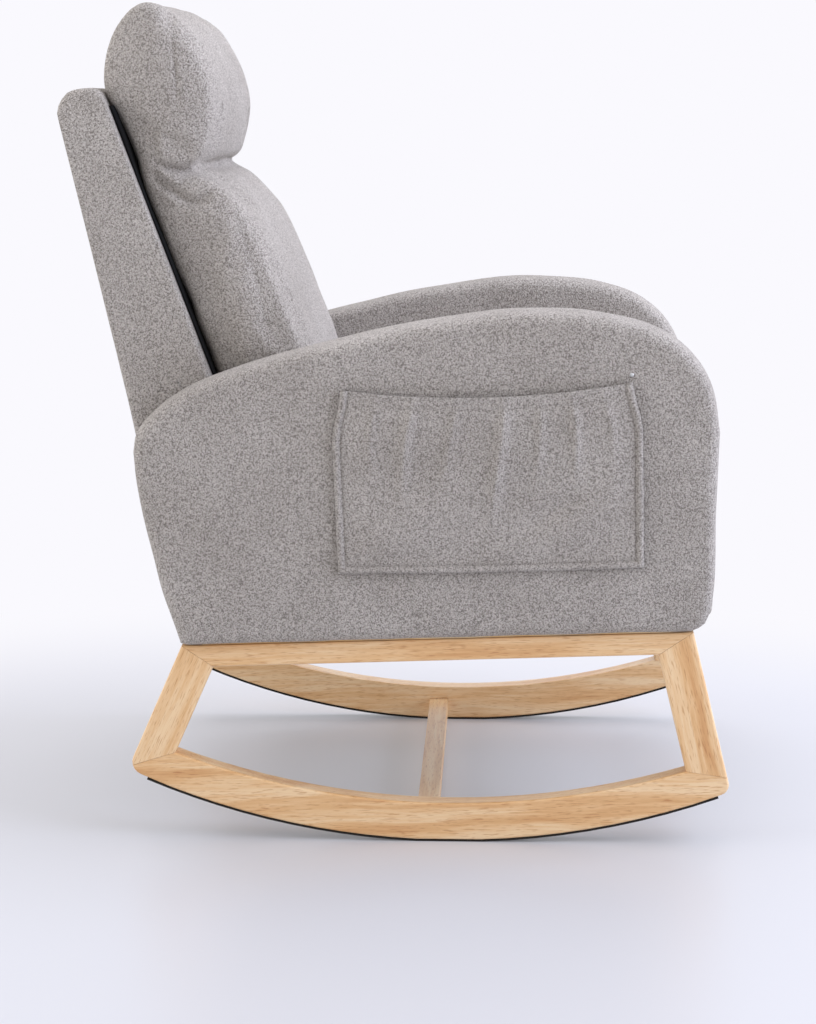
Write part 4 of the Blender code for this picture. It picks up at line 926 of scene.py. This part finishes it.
# %% Floor
FLOOR_SIZE = 14.0
FADE_FROM, FADE_TO, FADE_CENTRE = 0.95, 1.65, (-0.45, 0.0, 0.0)
corners = [(x, y, 0.0) for y in (-FLOOR_SIZE, FLOOR_SIZE) for x in (-FLOOR_SIZE, FLOOR_SIZE)]
floor_mesh = bpy.data.meshes.new("floor")
floor_mesh.from_pydata(corners, [], [(0, 1, 3, 2)])
floor = bpy.data.objects.new("floor", floor_mesh)
scene.collection.objects.link(floor)
painted, tree, shader, place = new_material(
    "pale_painted_floor", Roughness=0.38, Specular_IOR_Level=0.6, Base_Color=linear("#b9babf"),
    Emission_Color=linear("#f4f5fb"), Emission_Strength=0.13)
glow = add(tree, "Emission", values={"Color": linear(ROOM_WHITE), "Strength": 1.0})
away = add(tree, "VectorMath", {0: place}, {1: FADE_CENTRE}, operation="DISTANCE")
share = add(tree, "MapRange", {"Value": away.outputs["Value"]},
            {"From Min": FADE_FROM, "From Max": FADE_TO}, interpolation_type="SMOOTHSTEP")
blend = add(tree, "MixShader", {0: share.outputs["Result"], 1: shader.outputs[0],
                                2: glow.outputs[0]})
tree.links.new(blend.outputs[0], tree.nodes["Material Output"].inputs["Surface"])
dress(floor, painted)
print("floor fades to white from", FADE_FROM, "to", FADE_TO, "m")

# %% [markdown]
# **The room** is seen as plain white, and mirrored as such, but it lights the chair with a little
# over half of that, and slightly warm. The rest comes from soft boxes: a cool key in front, which
# makes the front faces brighter than the sides, one overhead, and a low fill from the rear.

# %% Room and lights
FILL = 0.52
CHAIR_MIDDLE, CHAIR_FOOT = (0, 0, 0.5), (-0.2, 0.2, 0.1)
world = bpy.data.worlds.new("room")
scene.world = world
world.use_nodes = True
room = world.node_tree
seen = add(room, "Background", values={"Color": linear(ROOM_WHITE), "Strength": 1.0})
lit = add(room, "Background", values={"Color": linear("#fffaf5"), "Strength": FILL})
ray = add(room, "LightPath")
plain = add(room, "Math", {0: ray.outputs["Is Camera Ray"], 1: ray.outputs["Is Glossy Ray"]},
            operation="MAXIMUM")
both = add(room, "MixShader", {0: plain.outputs[0], 1: lit.outputs[0], 2: seen.outputs[0]})
room.links.new(both.outputs[0], room.nodes["World Output"].inputs["Surface"])


def soft_box(name, place, aim, size, power, colour):
    """A square area light at a place, turned to face a point."""
    data = bpy.data.lights.new(name, "AREA")
    data.shape, data.size, data.energy, data.color = "SQUARE", size, power, linear(colour)[:3]
    light = bpy.data.objects.new(name, data)
    scene.collection.objects.link(light)
    facing = (Vector(aim) - Vector(place)).to_track_quat("-Z", "Y")
    light.matrix_world = Matrix.Translation(place) @ facing.to_matrix().to_4x4()
    return light


soft_box("key", (-0.7, -3.4, 2.2), CHAIR_MIDDLE, 4.2, 222, "#e4eaff")
soft_box("overhead", (0.9, 0.1, 3.4), CHAIR_MIDDLE, 3.2, 70, "#f6f7ff")
rear_fill = soft_box("rear fill", (-1.0, 3.2, 1.3), CHAIR_FOOT, 2.6, 60, "#fbfaff")
rear_fill.visible_glossy = False    # or the floor would mirror it in front of the chair

# %% [markdown]
# **The camera** stands square to the side, at the height of the back, with a lens of 87 mm at
# 3.3 m, so that the far frame shows just above the near one. The view transform is Standard, so
# that the whites stay white and the hex colours are what they say.

# %% Camera
LENS, SENSOR = 87.32, 36.0
EYE = (-3.2772, -0.1223, 0.8930)
PITCH, YAW = math.radians(80.735), math.radians(-87.904)
camera_data = bpy.data.cameras.new("camera")
camera_data.lens, camera_data.sensor_width = LENS, SENSOR
camera_data.dof.use_dof = False
camera = bpy.data.objects.new("camera", camera_data)
scene.collection.objects.link(camera)
camera.location, camera.rotation_euler = EYE, (PITCH, 0, YAW)
scene.camera = camera
scene.view_settings.view_transform = "Standard"
scene.view_settings.look = "None"
print("lens", LENS, "mm, at", EYE)
